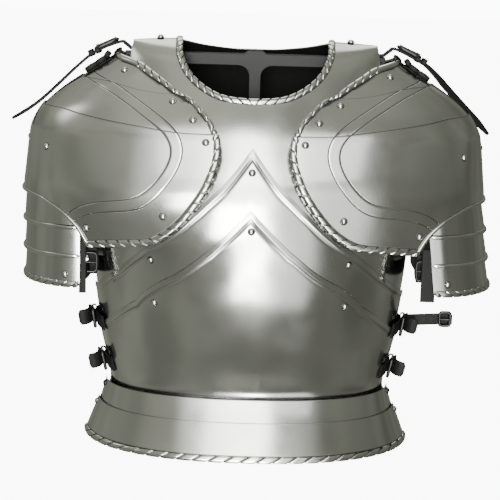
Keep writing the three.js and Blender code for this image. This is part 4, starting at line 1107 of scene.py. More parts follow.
@dataclass
class Stand:
    """The dark post with its crossbar, saddles and base."""

    post: float = 15
    thickness: float = 14
    bar_top: float = 500
    bar_height: float = 15
    bar_half_length: float = 164
    saddle_across: float = 118
    saddle_half_width: float = 16
    saddle_top: float = 508
    fillet: float = 14
    base: tuple[float, float, float] = (240, 180, 4)

    def mesh(self) -> MeshBuilder:
        """The upright, cut from one outline with curved fillets, and the base plate."""
        half, low = self.post / 2, self.bar_top - self.bar_height
        angle = np.linspace(0, math.pi / 2, 8)
        curve = self.fillet * (1 - np.stack([np.cos(angle), np.sin(angle)], -1))
        fillet = [half, low] + curve * [1, -1]
        inner, outer = (self.saddle_across + way * self.saddle_half_width for way in (-1, 1))
        right = np.concatenate([
            [[half, self.base[2] / 2]], fillet,
            [[self.bar_half_length, low], [self.bar_half_length, self.bar_top], [outer, self.bar_top],
             [outer, self.saddle_top], [inner, self.saddle_top], [inner, self.bar_top],
             [half + 0.5 * self.fillet, self.bar_top], [0.6 * self.post, self.bar_top + 4]],
        ])
        outline = np.concatenate([right, right[::-1] * [-1, 1]])
        builder = MeshBuilder()
        builder.prism(outline, -self.thickness / 2, self.thickness / 2, 0.8)
        width, depth, thick = self.base
        plate = np.array([[-width / 2, 0], [width / 2, 0], [width / 2, thick], [-width / 2, thick]], float)
        builder.prism(plate, -depth / 2, depth / 2, 0.6)
        return builder


@dataclass(frozen=True)
class Buckle:
    """A roller buckle: a rounded frame, a roller at its outer end and a tongue."""

    length: float
    width: float
    bar: float

    def metal(self, seat: Seat) -> MeshBuilder:
        """The buckle at its seat. The frame's middle line is a squared oval with the power 0.4."""
        half_length, half_width = (self.length - self.bar) / 2, (self.width - self.bar) / 2
        u, v = squared_oval(circle(56), 0.4)
        builder = MeshBuilder()
        builder.rod(seat.at(u * half_length, v * half_width), self.bar / 2, seat.out, closed=True)
        reach = np.linspace(-0.72, 0.72, 7) * half_width
        builder.rod(seat.at(half_length, reach), self.bar * 0.68, seat.out)
        share = np.linspace(0, 1, 12)
        rise = self.bar * (0.45 + 0.35 * share ** 3)
        tongue = seat.at(-half_length + share * (self.length - 0.8 * self.bar), 0.0, rise)
        builder.rod(tongue, self.bar * (0.42 - 0.14 * share), seat.across)
        return builder


@dataclass(frozen=True)
class Keeper:
    """A leather loop round a strap: a band along a squared oval in the plane across the strap."""

    width: float
    height: float
    length: float = 6.0
    leather: float = 1.6

    def add(self, builder: MeshBuilder, seat: Seat, along: float, drop: float) -> None:
        """Adds the loop at a distance along a buckle's seat and a drop below it."""
        u, v = squared_oval(circle(32), 0.5)
        loop = seat.at(along, u * self.width / 2, v * self.height / 2 - drop)
        builder.strip(loop, seat.along, self.length, self.leather, closed=True)


def band(path: Array, across: Array, width: Array | float, thickness: Array | float) -> MeshBuilder:
    """A piece that is one flat band of leather."""
    builder = MeshBuilder()
    builder.strip(path, across, width, thickness)
    return builder


def path_xz(rows: list[Array | tuple[float, float]], count: int) -> Array:
    """A smooth path through rows of X and Z in the plane Y = 0."""
    flat = through_rows(np.array(rows, float), np.linspace(0, len(rows) - 1, count))
    return np.stack([flat[:, 0], np.zeros(count), flat[:, 1]], -1)


@dataclass
class ShoulderHarness:
    """The strap from the steel shoulder end over the pauldron, its buckle, and the chape on the crest."""

    pauldron: Pauldron
    leather: float = 3.9
    width: float = 18.0
    chape: float = 7.0
    pressed: float = 0.7
    root: tuple[tuple[float, float], ...] = ((151.6, 502.0), (159, 502.6), (166, 507.8), (174, 510.4))
    tails: dict[Side, tuple[tuple[float, float], ...]] = field(default_factory=lambda: {
        Side.LEFT: ((204, 498), (226, 480.5), (251, 456.5), (273, 436), (290, 423), (311, 410)),
        Side.RIGHT: ((202, 497.5), (214, 490.5), (227, 478.5), (241, 463.5), (257, 447), (277, 427),
                     (297, 406)),
    })
    twists: dict[Side, float] = field(default_factory=lambda: {Side.LEFT: 0.10, Side.RIGHT: 0.42})
    buckle: Buckle = Buckle(32, 29, 4.2)
    buckle_end: tuple[float, float] = (203.0, 497.0)
    keeper: Keeper = Keeper(22.0, 7.6)
    keeper_places: tuple[float, ...] = (14.0, 23.0)
    crest_heights: tuple[float, ...] = (488.0, 480.0, 471.0)

    def buckle_seat(self) -> Seat:
        """The place of the buckle, on the strap's first slope."""
        first, second = (np.array([x, 0, z]) for x, z in (self.root[-1], self.buckle_end))
        along = unit(second - first)
        out = np.cross(along, Y_WAY)
        lift = self.leather / 2 + CLEARANCE + self.buckle.bar / 2
        return Seat((first + second) / 2 + out * lift, along, Y_WAY, out)

    def strap(self, side: Side) -> MeshBuilder:
        """The strap with its pointed tail; the tail turns a little about its own length."""
        path = path_xz([*self.root, *self.tails[side]], 110)
        share = np.linspace(0, 1, len(path))
        out = np.cross(heading(path, False), Y_WAY)
        turn = self.twists[side] * np.clip((share - 0.35) / 0.3, 0, 1)[:, None]
        across = np.cos(turn) * Y_WAY + np.sin(turn) * out
        left = np.linalg.norm(path - path[-1], axis=-1)
        width = self.width * np.clip(0.12 + left / 20, 0, 1) ** 0.7
        builder = band(path, across, width, self.leather)
        for place in self.keeper_places:
            self.keeper.add(builder, self.buckle_seat(), place, 2.8)
        return builder

    def crest_piece(self) -> MeshBuilder:
        """The chape: a thick folded leather with three swells, riveted along the crest."""
        body, seat = self.pauldron.body, self.buckle_seat()
        under = seat.at(1.5, 0.0, -(self.buckle.bar / 2 + 0.8 + self.leather + self.chape / 2))
        rises = body.rise_at(self.crest_heights)
        places = np.stack([np.full(len(rises), math.pi / 2), rises], -1)
        seats = body.point(places) + body.normal(places) * (self.chape / 2 - self.pressed)
        path = path_xz([point[[0, 2]] for point in (under, *seats)], 64)
        share = np.linspace(0, 1, len(path))
        swell = np.abs(np.sin(share * math.pi * 3.0))
        end = np.clip(0.35 + np.minimum(share, 1 - share) / 0.05, 0, 1) ** 0.5
        return band(path, Y_WAY, self.width * (0.92 + 0.14 * swell) * end, self.chape * (0.86 + 0.2 * swell))


@dataclass
class SideHarness:
    """A strap that joins the breast to the back at the waist, with its buckle on the front edge."""

    form: TorsoForm
    heights: dict[str, float] = field(default_factory=lambda: {"upper": 160.0, "lower": 103.0})
    width: float = 20.0
    leather: float = 2.4
    flap_rise: float = 6.0
    buckle: Buckle = Buckle(26, 29, 4.6)
    tail_buckle: Buckle = Buckle(18, 22, 4.2)
    keeper: Keeper = Keeper(23.0, 6.0)
    hole: float = 1.5
    hole_places: tuple[float, ...] = (0.32, 0.52, 0.72)

    def lift_on_front(self, level: str) -> float:
        """Height of the strap's outer face over the chest's body."""
        return 2 * LAYER_STEP + CLEARANCE + self.leather + (0.8 if level == "upper" else 0.0)

    def strap(self, level: str) -> MeshBuilder:
        """The strap, which follows the body round the side from the front to the back."""
        body, edge, centre = self.form.front(), self.form.front_edge, self.heights[level]
        on_front = self.lift_on_front(level)
        on_back = -LAYER_STEP + CLEARANCE + self.leather
        front_turns = np.array([0.8, 0.9, 1.0]) * edge
        turns = np.array([*front_turns, math.pi / 2, *(math.pi - front_turns[::-1])])
        lifts = np.array([on_front] * 3 + [(on_front + on_back) / 2] + [on_back] * 3)
        rows = through_rows(np.stack([turns, lifts], -1), np.linspace(0, 6, 44))
        lines = []
        for share in (-0.5, 0.5):
            places = level_line(rows[:, 0], float(body.rise_at(centre + share * self.width)))
            lines.append(body.point(places) + body.normal(places) * (rows[:, 1:] - self.leather / 2))
        low, high = lines
        return band((low + high) / 2, unit(high - low), self.width, self.leather)

    def seat(self, level: str) -> Seat:
        """The buckle's place on the edge of the front."""
        body = self.form.front()
        place = np.array([self.form.front_edge - 0.02, float(body.rise_at(self.heights[level]))])
        out = body.normal(place)
        along = unit(np.cross(Z_WAY, out))
        lift = self.lift_on_front(level) + CLEARANCE + self.buckle.bar / 2 + 0.3
        return Seat(body.point(place) + out * lift, along, np.cross(out, along), out)

    def flap(self, level: str) -> MeshBuilder:
        """The free end of the strap, bent forwards over the buckle and out from the waist."""
        seat = self.seat(level)
        rows = np.array([[5, 2.8], [-5, 3.2], [-14, 4.5], [-19, 8.5], [-20, 13.5], [-19, 18.5]])
        flat = through_rows(rows, np.linspace(0, 5, 30))
        left = np.linspace(1, 0, 30)
        path = seat.at(flat[:, 0], self.flap_rise, flat[:, 1])
        return band(path, seat.across, self.width * np.clip(0.6 + left * 5, 0, 1), self.leather + 1.4)

    def keeper_loop(self, level: str) -> MeshBuilder:
        """The leather keeper beside the buckle."""
        builder = MeshBuilder()
        self.keeper.add(builder, self.seat(level), 17.0, 2.4)
        return builder

    def tail(self, low: Array, high: Array) -> tuple[MeshBuilder, MeshBuilder]:
        """The free tail with its holes, and the buckle at its end, worked out from the solid's box."""
        middle = (low + high) / 2
        length, height = high[0] - low[0], high[2] - low[2]
        path = path_xz([[low[0], middle[2] + 1], [high[0] + 12, middle[2] + 4.5]], 24) + Y_WAY * middle[1]
        leather = band(path, Z_WAY, height - 0.8, self.leather - 0.2)
        rim = np.array([[0.2, 0.12], [self.hole, 0.12], [self.hole + 0.5, 0.02], [self.hole + 0.5, -0.4]])
        for spot in self.hole_places:
            centre = np.array([low[0] + spot * length, low[1] + 0.1, middle[2] + 1 + 2.8 * spot])
            # painted shade: a dark disc in the near-black finish stands for each hole
            leather.turned(rim, centre, -Y_WAY, 14, SHADE_INSIDE)
        end = np.array([high[0] + 4.5, middle[1] - 2.6, middle[2] + 4.0])
        return leather, self.tail_buckle.metal(Seat(end, X_WAY, Z_WAY, -Y_WAY))


@dataclass
class ArmHarness:
    """The strap across the open inner side of the arm lames, its buckle, and the leather they hang on."""

    arm: ArmLames
    hang: float = 93.0
    width: float = 22.0
    leather: float = 2.4
    buckle: Buckle = Buckle(19, 27, 3.0)
    hanger_widths: dict[Side, float] = field(default_factory=lambda: {Side.LEFT: 9.0, Side.RIGHT: 18.0})
    hanger_depth: float = 86.8
    hanger_heights: tuple[float, float] = (204.0, 270.0)
    buckle_place: tuple[float, float, float] = (-12.0, -82.0, 10.0)
    flap_place: tuple[float, float, float] = (-13.0, -78.0, 30.0)

    def middle(self, side: Side) -> Array:
        """The axis of the lames at the strap's height."""
        arm = self.arm
        return np.array([arm.centre + arm.flare[side] * self.hang, 0, arm.pivot_height - self.hang])

    def strap(self, side: Side) -> MeshBuilder:
        """The strap: from inside the front edge round the inner side to the back edge."""
        depth = self.arm.half_depth - (STEEL_WALL + 0.85 * self.arm.taper + CLEARANCE + self.leather)
        rows = np.array([[10, -depth], [0, -depth], [-8, 6 - depth], [-9, 0], [-8, depth - 6], [0, depth],
                         [10, depth]], float)
        flat = through_rows(rows, np.linspace(0, 6, 60))
        path = self.middle(side) + np.insert(flat, 2, 0.0, axis=1)
        return band(path, Z_WAY, self.width, self.leather)

    def hanger(self, side: Side) -> MeshBuilder:
        """The leather inside the front edges that the lames hang on."""
        width = self.hanger_widths[side]
        x = self.middle(side)[0] - 1.0 - width / 4
        ends = [[x, -self.hanger_depth, height] for height in self.hanger_heights]
        return band(np.linspace(*ends, 20), X_WAY, width, self.leather)

    def flap(self, side: Side) -> MeshBuilder:
        """The free end of the strap, which hangs down inside the buckle."""
        share = np.linspace(0, 1, 24)
        start = self.middle(side) + self.flap_place
        path = start + np.stack([-3.0 * np.sin(2.6 * share), 5 * share, -36.0 * share], -1)
        return band(path, X_WAY, 13.0 - 4.0 * share ** 4, self.leather + 1.0)

    def seat(self, side: Side) -> Seat:
        """The buckle's place at the front edge of the lames."""
        return Seat(self.middle(side) + self.buckle_place, X_WAY, Z_WAY, -Y_WAY)


class Graph:
    """A node tree with short calls that add and join nodes."""

    def __init__(self, tree: bpy.types.NodeTree) -> None:
        """Wraps a tree."""
        self.tree = tree

    def node(self, kind: str, inputs: dict[str | int, object] | None = None,
             **settings: object) -> bpy.types.Node:
        """Adds a node.

        Args:
            kind: The node's type.
            inputs: Values or sockets for its inputs, by name or number.
            settings: Values for its own settings.

        Returns:
            The node.
        """
        node = self.tree.nodes.new(kind)
        for key, value in settings.items():
            setattr(node, key, value)
        for key, value in (inputs or {}).items():
            if isinstance(value, bpy.types.NodeSocket):
                self.tree.links.new(value, node.inputs[key])
            else:
                node.inputs[key].default_value = value
        return node

    def math(self, operation: str, *values: object) -> bpy.types.NodeSocket:
        """The result of a math node."""
        return self.node("ShaderNodeMath", dict(enumerate(values)), operation=operation).outputs[0]

    def fade(self, value: object, start: object, end: object, low: float = 0.0, high: float = 1.0,
             smooth: bool = True) -> bpy.types.NodeSocket:
        """A value carried from one range into another, clamped, with soft ends."""
        inputs = {"Value": value, "From Min": start, "From Max": end, "To Min": low, "To Max": high}
        kind = "SMOOTHSTEP" if smooth else "LINEAR"
        return self.node("ShaderNodeMapRange", inputs, interpolation_type=kind).outputs["Result"]

    def noise(self, vector: object, scale: float, detail: float = 2.0,
              roughness: float = 0.5) -> bpy.types.NodeSocket:
        """A noise value about one half."""
        inputs = {"Vector": vector, "Scale": scale, "Detail": detail, "Roughness": roughness}
        return self.node("ShaderNodeTexNoise", inputs).outputs["Fac"]

    def bump(self, height: object, strength: float, distance: float,
             normal: bpy.types.NodeSocket | None = None) -> bpy.types.NodeSocket:
        """A normal that a height bends, over an earlier one where it is given."""
        inputs = {"Height": height, "Strength": strength, "Distance": distance}
        if normal:
            inputs["Normal"] = normal
        return self.node("ShaderNodeBump", inputs).outputs["Normal"]

    def blend(self, factor: object, first: object, second: object) -> bpy.types.NodeSocket:
        """Two colours mixed by a factor."""
        inputs = {"Factor": factor}
        for label, colour in (("A", first), ("B", second)):
            inputs[label] = colour if isinstance(colour, bpy.types.NodeSocket) else (*colour, 1)
        return self.node("ShaderNodeMix", inputs, data_type="RGBA").outputs["Result"]


def new_material(name: str) -> tuple[bpy.types.Material, Graph, bpy.types.Node]:
    """A material with its node graph and its Principled shader."""
    material = bpy.data.materials.new(name)
    material.use_nodes = True
    graph = Graph(material.node_tree)
    return material, graph, graph.tree.nodes["Principled BSDF"]


def shared_group(name: str, inputs: tuple[str, ...],
                 outputs: tuple[str, ...]) -> tuple[bpy.types.NodeTree, Graph]:
    """A new node group whose sockets are all plain numbers, apart from one named Vector."""
    tree = bpy.data.node_groups.new(name, "ShaderNodeTree")
    for label in inputs:
        kind = "NodeSocketVector" if label == "Vector" else "NodeSocketFloat"
        tree.interface.new_socket(label, in_out="INPUT", socket_type=kind)
    for label in outputs:
        tree.interface.new_socket(label, in_out="OUTPUT", socket_type="NodeSocketFloat")
    return tree, Graph(tree)


def incised_lines_group(inner: float = 43.0, outer: float = 55.0) -> bpy.types.NodeTree:
    """Two cut lines at distances from an edge, with a soft swell between them, as a mask and a height; the
    steel darkens its colour by the mask as painted shade in the lines.

    Args:
        inner: Distance of the first line in millimetres.
        outer: Distance of the second line.

    Returns:
        The node group.
    """
    tree, graph = shared_group("incised_lines", ("Border",), ("Mask", "Height"))
    border = graph.node("NodeGroupInput").outputs["Border"]
    cuts = [graph.fade(graph.math("ABSOLUTE", graph.math("SUBTRACT", border, line)), 0.15, 0.85, 1.0, 0.0)
            for line in (inner, outer)]
    mask = graph.math("MAXIMUM", *cuts)
    away = graph.math("ABSOLUTE", graph.math("SUBTRACT", border, (inner + outer) / 2))
    swell = graph.fade(away, (outer - inner) / 2 + 1.2, (outer - inner) / 2 - 2.5)
    height = graph.math("SUBTRACT", graph.math("MULTIPLY", swell, 0.5), graph.math("MULTIPLY", mask, 0.6))
    graph.node("NodeGroupOutput", {"Mask": mask, "Height": height})
    return tree


def hand_polish_group(smudge: float = 13.0, brushing: tuple[float, float, float] = (900.0, 900.0, 45.0),
                      waves: float = 9.0) -> bpy.types.NodeTree:
    """The marks of hand work: broad smudges, fine upright brushing, and the low waves of hammered plate.

    Args:
        smudge: Noise scale of the smudges.
        brushing: Scale of the brush marks along each axis.
        waves: Noise scale of the hammered waves.

    Returns:
        The node group.
    """
    tree, graph = shared_group("hand_polish", ("Vector",), ("Smudge", "Grain", "Wave"))
    vector = graph.node("NodeGroupInput").outputs["Vector"]
    broad = graph.noise(vector, smudge, 4.0, 0.6)
    stretched = graph.node("ShaderNodeMapping", {"Vector": vector, "Scale": brushing})
    grain = graph.noise(stretched.outputs["Vector"], 1.0, 2.0, 0.6)
    wave = graph.noise(vector, waves, 1.0, 0.4)
    graph.node("NodeGroupOutput", {"Smudge": graph.fade(broad, 0.32, 0.7), "Grain": grain, "Wave": wave})
    return tree


@dataclass(frozen=True)
class SteelFinish:
    """Satin steel with hand polish and incised border lines, its colour darkened as painted shade in
    creases, notches, seams and the incised lines.
    """

    colour: tuple[float, float, float] = (0.60, 0.605, 0.58)
    # the colour of painted shade in creases, notches and seams
    crease: tuple[float, float, float] = (0.035, 0.035, 0.032)
    smudge_tone: float = 0.93
    # how far painted shade darkens the incised lines
    line_shade: float = 0.92
    crease_roughness: float = 0.25
    roughness: tuple[float, float] = (0.13, 0.20)
    wave_bump: tuple[float, float] = (0.8, 0.0035)
    grain_bump: tuple[float, float] = (0.10, 0.0002)
    line_bump: tuple[float, float] = (0.9, 0.0007)

    def material(self, name: str, polish: bpy.types.NodeTree,
                 lines: bpy.types.NodeTree) -> bpy.types.Material:
        """Makes the material from the shared node groups.

        Args:
            name: Name of the material.
            polish: The group of polish marks.
            lines: The group of incised lines.

        Returns:
            The new material.
        """
        material, graph, shader = new_material(name)
        place = graph.node("ShaderNodeTexCoord").outputs["Object"]
        painted_shade, border = (graph.node("ShaderNodeAttribute", attribute_name=label).outputs["Fac"]
                          for label in ("painted_shade", "border"))
        marks = graph.node("ShaderNodeGroup", {"Vector": place}, node_tree=polish).outputs
        cuts = graph.node("ShaderNodeGroup", {"Border": border}, node_tree=lines).outputs
        # painted shade: creases, notches, seams and incised lines darken the colour towards the shade
        # colour, and turn a little rougher
        dark = graph.math("MAXIMUM", painted_shade, graph.math("MULTIPLY", cuts["Mask"], self.line_shade))
        dull = [self.smudge_tone * part for part in self.colour]
        base = graph.blend(dark, graph.blend(marks["Smudge"], dull, self.colour), self.crease)
        shiny, satin = self.roughness
        rough = graph.fade(marks["Smudge"], 0.0, 1.0, satin, shiny, False)
        rough = graph.math("ADD", rough, graph.math("MULTIPLY", dark, self.crease_roughness))
        normal = graph.bump(marks["Wave"], *self.wave_bump)
        normal = graph.bump(marks["Grain"], *self.grain_bump, normal)
        normal = graph.bump(cuts["Height"], *self.line_bump, normal)
        for label, socket in (("Base Color", base), ("Roughness", rough), ("Normal", normal)):
            graph.tree.links.new(socket, shader.inputs[label])
        shader.inputs["Metallic"].default_value = 1.0
        return material


@dataclass(frozen=True)
class PlainFinish:
    """A finish of one colour, with a fine grain in its surface."""

    colour: tuple[float, float, float]
    roughness: float
    metallic: float = 0.0
    sheen: float = 0.5
    grain: float = 0.0
    grain_scale: float = 900.0
    grain_depth: float = 0.0004

    def material(self, name: str) -> bpy.types.Material:
        """Makes the material."""
        material, graph, shader = new_material(name)
        shader.inputs["Base Color"].default_value = (*self.colour, 1)
        shader.inputs["Metallic"].default_value = self.metallic
        shader.inputs["Roughness"].default_value = self.roughness
        shader.inputs["Specular IOR Level"].default_value = self.sheen
        if self.grain:
            place = graph.node("ShaderNodeTexCoord").outputs["Object"]
            height = graph.noise(place, self.grain_scale, 3.0, 0.6)
            normal = graph.bump(height, self.grain, self.grain_depth)
            graph.tree.links.new(normal, shader.inputs["Normal"])
        return material


# Near-black inner faces: blackened steel, also painted shade for the inside of the armour and the strap's
# holes
SHADE_INSIDE_FINISH = PlainFinish((0.012, 0.012, 0.011), roughness=0.6, metallic=0.2, sheen=0.2)
LEATHER_FINISH = PlainFinish((0.006, 0.0058, 0.0055), roughness=0.5, sheen=0.12, grain=0.35)
IRON_FINISH = PlainFinish((0.035, 0.035, 0.034), roughness=0.34, metallic=0.8, sheen=0.4, grain=0.15,
                          grain_scale=500.0)
PAINT_FINISH = PlainFinish((0.012, 0.0122, 0.013), roughness=0.5, sheen=0.2, grain=0.05)
FLOOR_FINISH = PlainFinish((0.85, 0.85, 0.84), roughness=0.8)


@dataclass(frozen=True)
class Window:
    """A soft bright window of light in the room, by its middle and half sizes in degrees."""

    azimuth: float
    elevation: float
    half_width: float
    half_height: float
    soft: float
    strength: float


@dataclass(frozen=True)
class Studio:
    """The pale floor, the soft room light and the camera."""

    distance: float = 1.750
    aim_height: float = 0.247
    pitch: float = math.radians(11)
    roll: float = math.radians(1.6)
    lens: float = 96.9
    sensor: float = 36.0
    floor_size: float = 60.0
    floor_glow: float = 0.9
    backdrop: float = 11.0
    lamp_size: tuple[float, float] = (1.4, 1.0)
    lamp_place: tuple[float, float, float] = (0.1, -1.182016, 1.439757)
    lamp_tilt: float = math.radians(52)
    lamp_energy: float = 9.0
    cloud_scale: float = 2.3
    cloud_range: tuple[float, float] = (0.75, 1.25)
    side_tones: tuple[float, float] = (1.25, 0.8)
    low_tone: tuple[float, float, float] = (0.208, 0.213, 0.180)
    high_tone: tuple[float, float, float] = (0.46, 0.47, 0.40)
    windows: tuple[Window, ...] = (
        Window(1, -26, 4, 18, 2, 24.0),
        Window(-5, 3, 8.5, 10, 2.5, 32.0),
        Window(-2, 38, 9, 25, 4, 8.0),
        Window(14, -13, 15, 34, 3, 1.6),
        Window(-15, 22, 12, 20, 7, 1.1),
        Window(14, 34, 15, 13, 7, 0.45),
        Window(-96, 44, 7, 7, 6, 2.5),
        Window(180, 48, 26, 22, 8, 2.0),
    )

    def build(self) -> None:
        """Makes the world, the floor and the camera."""
        self.room()
        self.floor()
        self.lamp()
        self.camera()

    def window_group(self) -> bpy.types.NodeTree:
        """The mask of one window: one inside, zero outside, with soft edges."""
        labels = ("Azimuth", "Elevation", "Middle Azimuth", "Middle Elevation", "Half Width", "Half Height",
                  "Soft")
        tree, graph = shared_group("soft_window", labels, ("Mask",))
        given = graph.node("NodeGroupInput").outputs
        masks = []
        for angle, middle, half in (("Azimuth", "Middle Azimuth", "Half Width"),
                                    ("Elevation", "Middle Elevation", "Half Height")):
            away = graph.math("SUBTRACT", given[angle], given[middle])
            if angle == "Azimuth":
                away = graph.math("WRAP", away, 180.0, -180.0)
            near = graph.math("SUBTRACT", given[half], given["Soft"])
            far = graph.math("ADD", given[half], given["Soft"])
            masks.append(graph.fade(graph.math("ABSOLUTE", away), near, far, 1.0, 0.0))
        graph.node("NodeGroupOutput", {"Mask": graph.math("MULTIPLY", *masks)})
        return tree

    def room(self) -> None:
        """The world: a grey-green room with soft windows, and a white backdrop for the camera alone."""
        world = bpy.data.worlds.new("studio")
        bpy.context.scene.world = world
        world.use_nodes = True
        graph = Graph(world.node_tree)
        graph.tree.nodes.clear()
        ray = graph.node("ShaderNodeTexCoord").outputs["Generated"]
        parts = graph.node("ShaderNodeSeparateXYZ", {"Vector": ray}).outputs
        forward = graph.math("MULTIPLY", parts["Y"], -1.0)
        degree = 180 / math.pi
        azimuth = graph.math("MULTIPLY", graph.math("ARCTAN2", parts["X"], forward), degree)
        elevation = graph.math("MULTIPLY", graph.math("ARCSINE", parts["Z"]), degree)
        cloud = graph.fade(graph.noise(ray, self.cloud_scale), 0.3, 0.7, *self.cloud_range)
        cloud = graph.math("MULTIPLY", cloud, graph.fade(azimuth, -45.0, 35.0, *self.side_tones))
        tone = graph.blend(graph.fade(elevation, 5.0, 80.0), self.low_tone, self.high_tone)
        tree, light = self.window_group(), 0.0
        for window in self.windows:
            inputs = {"Azimuth": azimuth, "Elevation": elevation, "Middle Azimuth": window.azimuth,
                      "Middle Elevation": window.elevation, "Half Width": window.half_width,
                      "Half Height": window.half_height, "Soft": window.soft}
            mask = graph.node("ShaderNodeGroup", inputs, node_tree=tree).outputs["Mask"]
            light = graph.math("ADD", light, graph.math("MULTIPLY", mask, window.strength))
        walls = graph.node("ShaderNodeBackground", {"Color": tone, "Strength": cloud})
        glow = graph.node("ShaderNodeBackground", {"Color": (1.0, 1.0, 0.97, 1), "Strength": light})
        lit = graph.node("ShaderNodeAddShader", {0: walls.outputs[0], 1: glow.outputs[0]})
        white = graph.node("ShaderNodeBackground", {"Color": (1, 1, 1, 1), "Strength": self.backdrop})
        seen = graph.node("ShaderNodeLightPath").outputs["Is Camera Ray"]
        mixed = graph.node("ShaderNodeMixShader", {0: seen, 1: lit.outputs[0], 2: white.outputs[0]})
        graph.node("ShaderNodeOutputWorld", {"Surface": mixed.outputs[0]})

    def floor(self) -> None:
        """A pale floor that looks lit right through, so that it meets the backdrop without a line."""
        corners = np.array([(-1, -1, 0), (1, -1, 0), (1, 1, 0), (-1, 1, 0)]) * self.floor_size / 2
        mesh = bpy.data.meshes.new("floor")
        mesh.from_pydata(corners.tolist(), [], [(0, 1, 2, 3)])
        material = FLOOR_FINISH.material("pale_floor")
        graph = Graph(material.node_tree)
        seen = graph.node("ShaderNodeLightPath").outputs["Is Camera Ray"]
        glow = graph.node("ShaderNodeEmission", {"Color": (1, 1, 1, 1), "Strength": self.backdrop})
        shader = graph.tree.nodes["Principled BSDF"]
        share = graph.math("MULTIPLY", seen, self.floor_glow)
        mixed = graph.node("ShaderNodeMixShader", {0: share, 1: shader.outputs[0], 2: glow.outputs[0]})
        graph.tree.links.new(mixed.outputs[0], graph.tree.nodes["Material Output"].inputs["Surface"])
        mesh.materials.append(material)
        floor = bpy.data.objects.new("floor", mesh)
        floor.visible_glossy = False
        floor.visible_shadow = False
        bpy.context.scene.collection.objects.link(floor)

    def lamp(self) -> None:
        """One large soft lamp above and in front, for the leather and the painted stand."""
        light = bpy.data.lights.new("soft_lamp", "AREA")
        light.shape = "RECTANGLE"
        light.size, light.size_y = self.lamp_size
        light.energy = self.lamp_energy
        light.specular_factor = 0.25
        lamp = bpy.data.objects.new("soft_lamp", light)
        turned = Matrix.Rotation(self.lamp_tilt, 4, "X")
        lamp.matrix_world = Matrix.Translation(self.lamp_place) @ turned
        bpy.context.scene.collection.objects.link(lamp)

    def camera(self) -> None:
        """The camera, a little above the middle of the armour, leaning with the photograph's frame."""
        data = bpy.data.cameras.new("camera")
        data.lens, data.sensor_width = self.lens, self.sensor
        camera = bpy.data.objects.new("camera", data)
        back, up = self.distance * math.cos(self.pitch), self.distance * math.sin(self.pitch)
        place = Matrix.Translation((0, -back, self.aim_height + up))
        camera.matrix_world = (place @ Matrix.Rotation(math.pi / 2 - self.pitch, 4, "X")
                               @ Matrix.Rotation(self.roll, 4, "Z"))
        bpy.context.scene.collection.objects.link(camera)
        bpy.context.scene.camera = camera


def show(piece: bpy.types.Object, node: str = "", body: str = "root") -> None:
    """Hands a finished piece to the frame, as the stand-in for its node where it has one."""
    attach(piece, body)
    if node:
        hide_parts(node)
    LOG.info("%s: %d faces", piece.name, len(piece.data.polygons))


def build_cuirass(finishes: Finishes) -> None:
    """Builds the chest, the plackarts, the fauld and the back."""
    plates, cuirass = [finishes.steel, finishes.lining], Cuirass()
    show(cuirass.breastplate().build("chest_plate", plates), "breastplate")
    show(cuirass.plackart(0).build("upper_plackart", plates), "plackart_upper")
    show(cuirass.plackart(1).build("lower_plackart", plates), "plackart_lower")
    show(cuirass.backplate().build("back_plate", plates), "backplate")
    for lower, word in ((False, "upper"), (True, "lower")):
        piece = cuirass.fauld_lame(lower).build(f"{word}_fauld", plates)
        show(piece, f"fauld_lame_{word}", f"fauld_{word}")
    for side in Side:
        builder = MeshBuilder()
        cuirass.seat_end_rivet(builder, cuirass.form.fauld(False), side, cuirass.form.upper_pivot)
        show(builder.build(f"fauld_end_rivet_{side.label}", [finishes.iron]),
             f"fauld_rivet_{side.label}")


@dataclass(frozen=True)
class Fitting:
    """One finished leather or metal piece of a side, with the node that it stands for where it has one."""

    builder: MeshBuilder
    name: str
    node: str = ""
    metal: bool = False
    hang: float = 0.0

    def show(self, side: Side, finishes: Finishes) -> None:
        """Makes the piece on its side and hands it to the frame."""
        materials = [finishes.iron] if self.metal else [finishes.leather, finishes.lining]
        piece = self.builder.build(f"{self.name}_{side.label}", materials, side is Side.LEFT, self.hang)
        node = f"{self.node}_{side.label}" if self.node else ""
        show(piece, node)


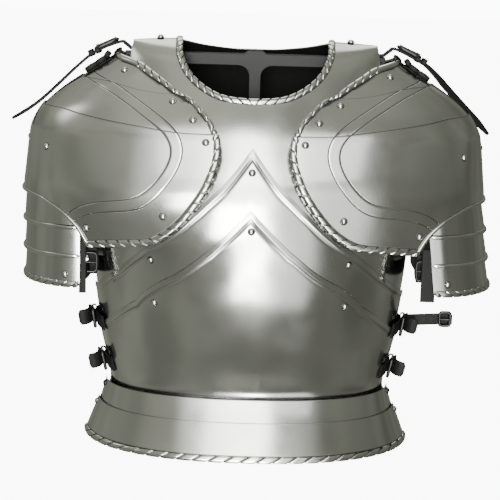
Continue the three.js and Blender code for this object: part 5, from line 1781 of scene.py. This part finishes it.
def build_shoulder(side: Side, finishes: Finishes) -> None:
    """Builds the pauldron, the arm lames, the stud and all the leather of one side."""
    flip = side is Side.LEFT
    plates, pauldron, arm = [finishes.steel, finishes.lining], Pauldron(), ArmLames()
    lames = {"shell": pauldron.shell, "middle": pauldron.middle, "top": pauldron.crest}
    for word, make in lames.items():
        piece = make().build(f"shoulder_{word}_{side.label}", plates, flip, pauldron.hang)
        show(piece, f"pauldron_{word}_{side.label}")
    for word, hang in arm.hangs:
        builder = arm.lame(side, hang, word == "lower")
        piece = builder.build(f"arm_{word}_{side.label}", plates, flip, pauldron.hang)
        show(piece, f"arm_lame_{word}_{side.label}")
    shoulder, waist, sleeve = ShoulderHarness(pauldron), SideHarness(TorsoForm()), ArmHarness(arm)
    hang = pauldron.hang
    shoulder_buckle = shoulder.buckle.metal(shoulder.buckle_seat())
    fittings = [
        Fitting(shoulder.strap(side), "strap_over_shoulder", "shoulder_strap", hang=hang),
        Fitting(shoulder.crest_piece(), "chape_on_crest", "shoulder_chape", hang=hang),
        Fitting(shoulder_buckle, "buckle_on_shoulder", "shoulder_buckle", metal=True, hang=hang),
        Fitting(sleeve.strap(side), "strap_in_sleeve", "arm_strap", hang=hang),
        Fitting(sleeve.hanger(side), "hanger_in_sleeve", hang=hang),
        Fitting(sleeve.flap(side), "flap_in_sleeve", hang=hang),
        Fitting(sleeve.buckle.metal(sleeve.seat(side)), "buckle_in_sleeve", metal=True, hang=hang),
    ]
    for level in ("upper", "lower"):
        waist_buckle = waist.buckle.metal(waist.seat(level))
        fittings += [
            Fitting(waist.strap(level), f"waist_strap_{level}", f"side_strap_{level}"),
            Fitting(waist_buckle, f"waist_buckle_{level}", f"side_buckle_{level}", metal=True),
            Fitting(waist.keeper_loop(level), f"waist_keeper_{level}"),
            Fitting(waist.flap(level), f"waist_flap_{level}"),
        ]
    if side is Side.RIGHT:
        low, high = (np.array(corner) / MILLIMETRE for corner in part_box("side_strap_tail_right"))
        tail, end = waist.tail(low, high)
        fittings += [Fitting(tail, "waist_tail", "side_strap_tail"),
                     Fitting(end, "waist_tail_buckle", metal=True)]
    for fitting in fittings:
        fitting.show(side, finishes)
    low, high = (np.array(corner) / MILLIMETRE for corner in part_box(f"shoulder_stud_{side.label}"))
    stud = MeshBuilder()
    seat = np.array([(low[0] + high[0]) / 2, (low[1] + high[1]) / 2, low[2]])
    Rivet(high[0] - low[0], high[2] - low[2]).add(stud, seat, Z_WAY)
    show(stud.build(f"stud_{side.label}", [finishes.steel]), f"shoulder_stud_{side.label}")


def main() -> None:
    """Builds the armour in the order in which it is put on the stand."""
    logging.basicConfig(level=logging.INFO, format="%(message)s")
    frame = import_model()
    LOG.info("nodes: %d", len(frame["nodes"]))
    polish, lines = hand_polish_group(), incised_lines_group()
    finishes = Finishes(
        steel=SteelFinish().material("satin_steel", polish, lines),
        lining=SHADE_INSIDE_FINISH.material("dark_lining"),
        leather=LEATHER_FINISH.material("black_leather"),
        iron=IRON_FINISH.material("blackened_iron"),
        paint=PAINT_FINISH.material("stand_paint"),
    )
    build_cuirass(finishes)
    for side in Side:
        build_shoulder(side, finishes)
    show(Stand().mesh().build("stand", [finishes.paint]), "display_stand")
    Studio().build()


if __name__ == "__main__":
    main()
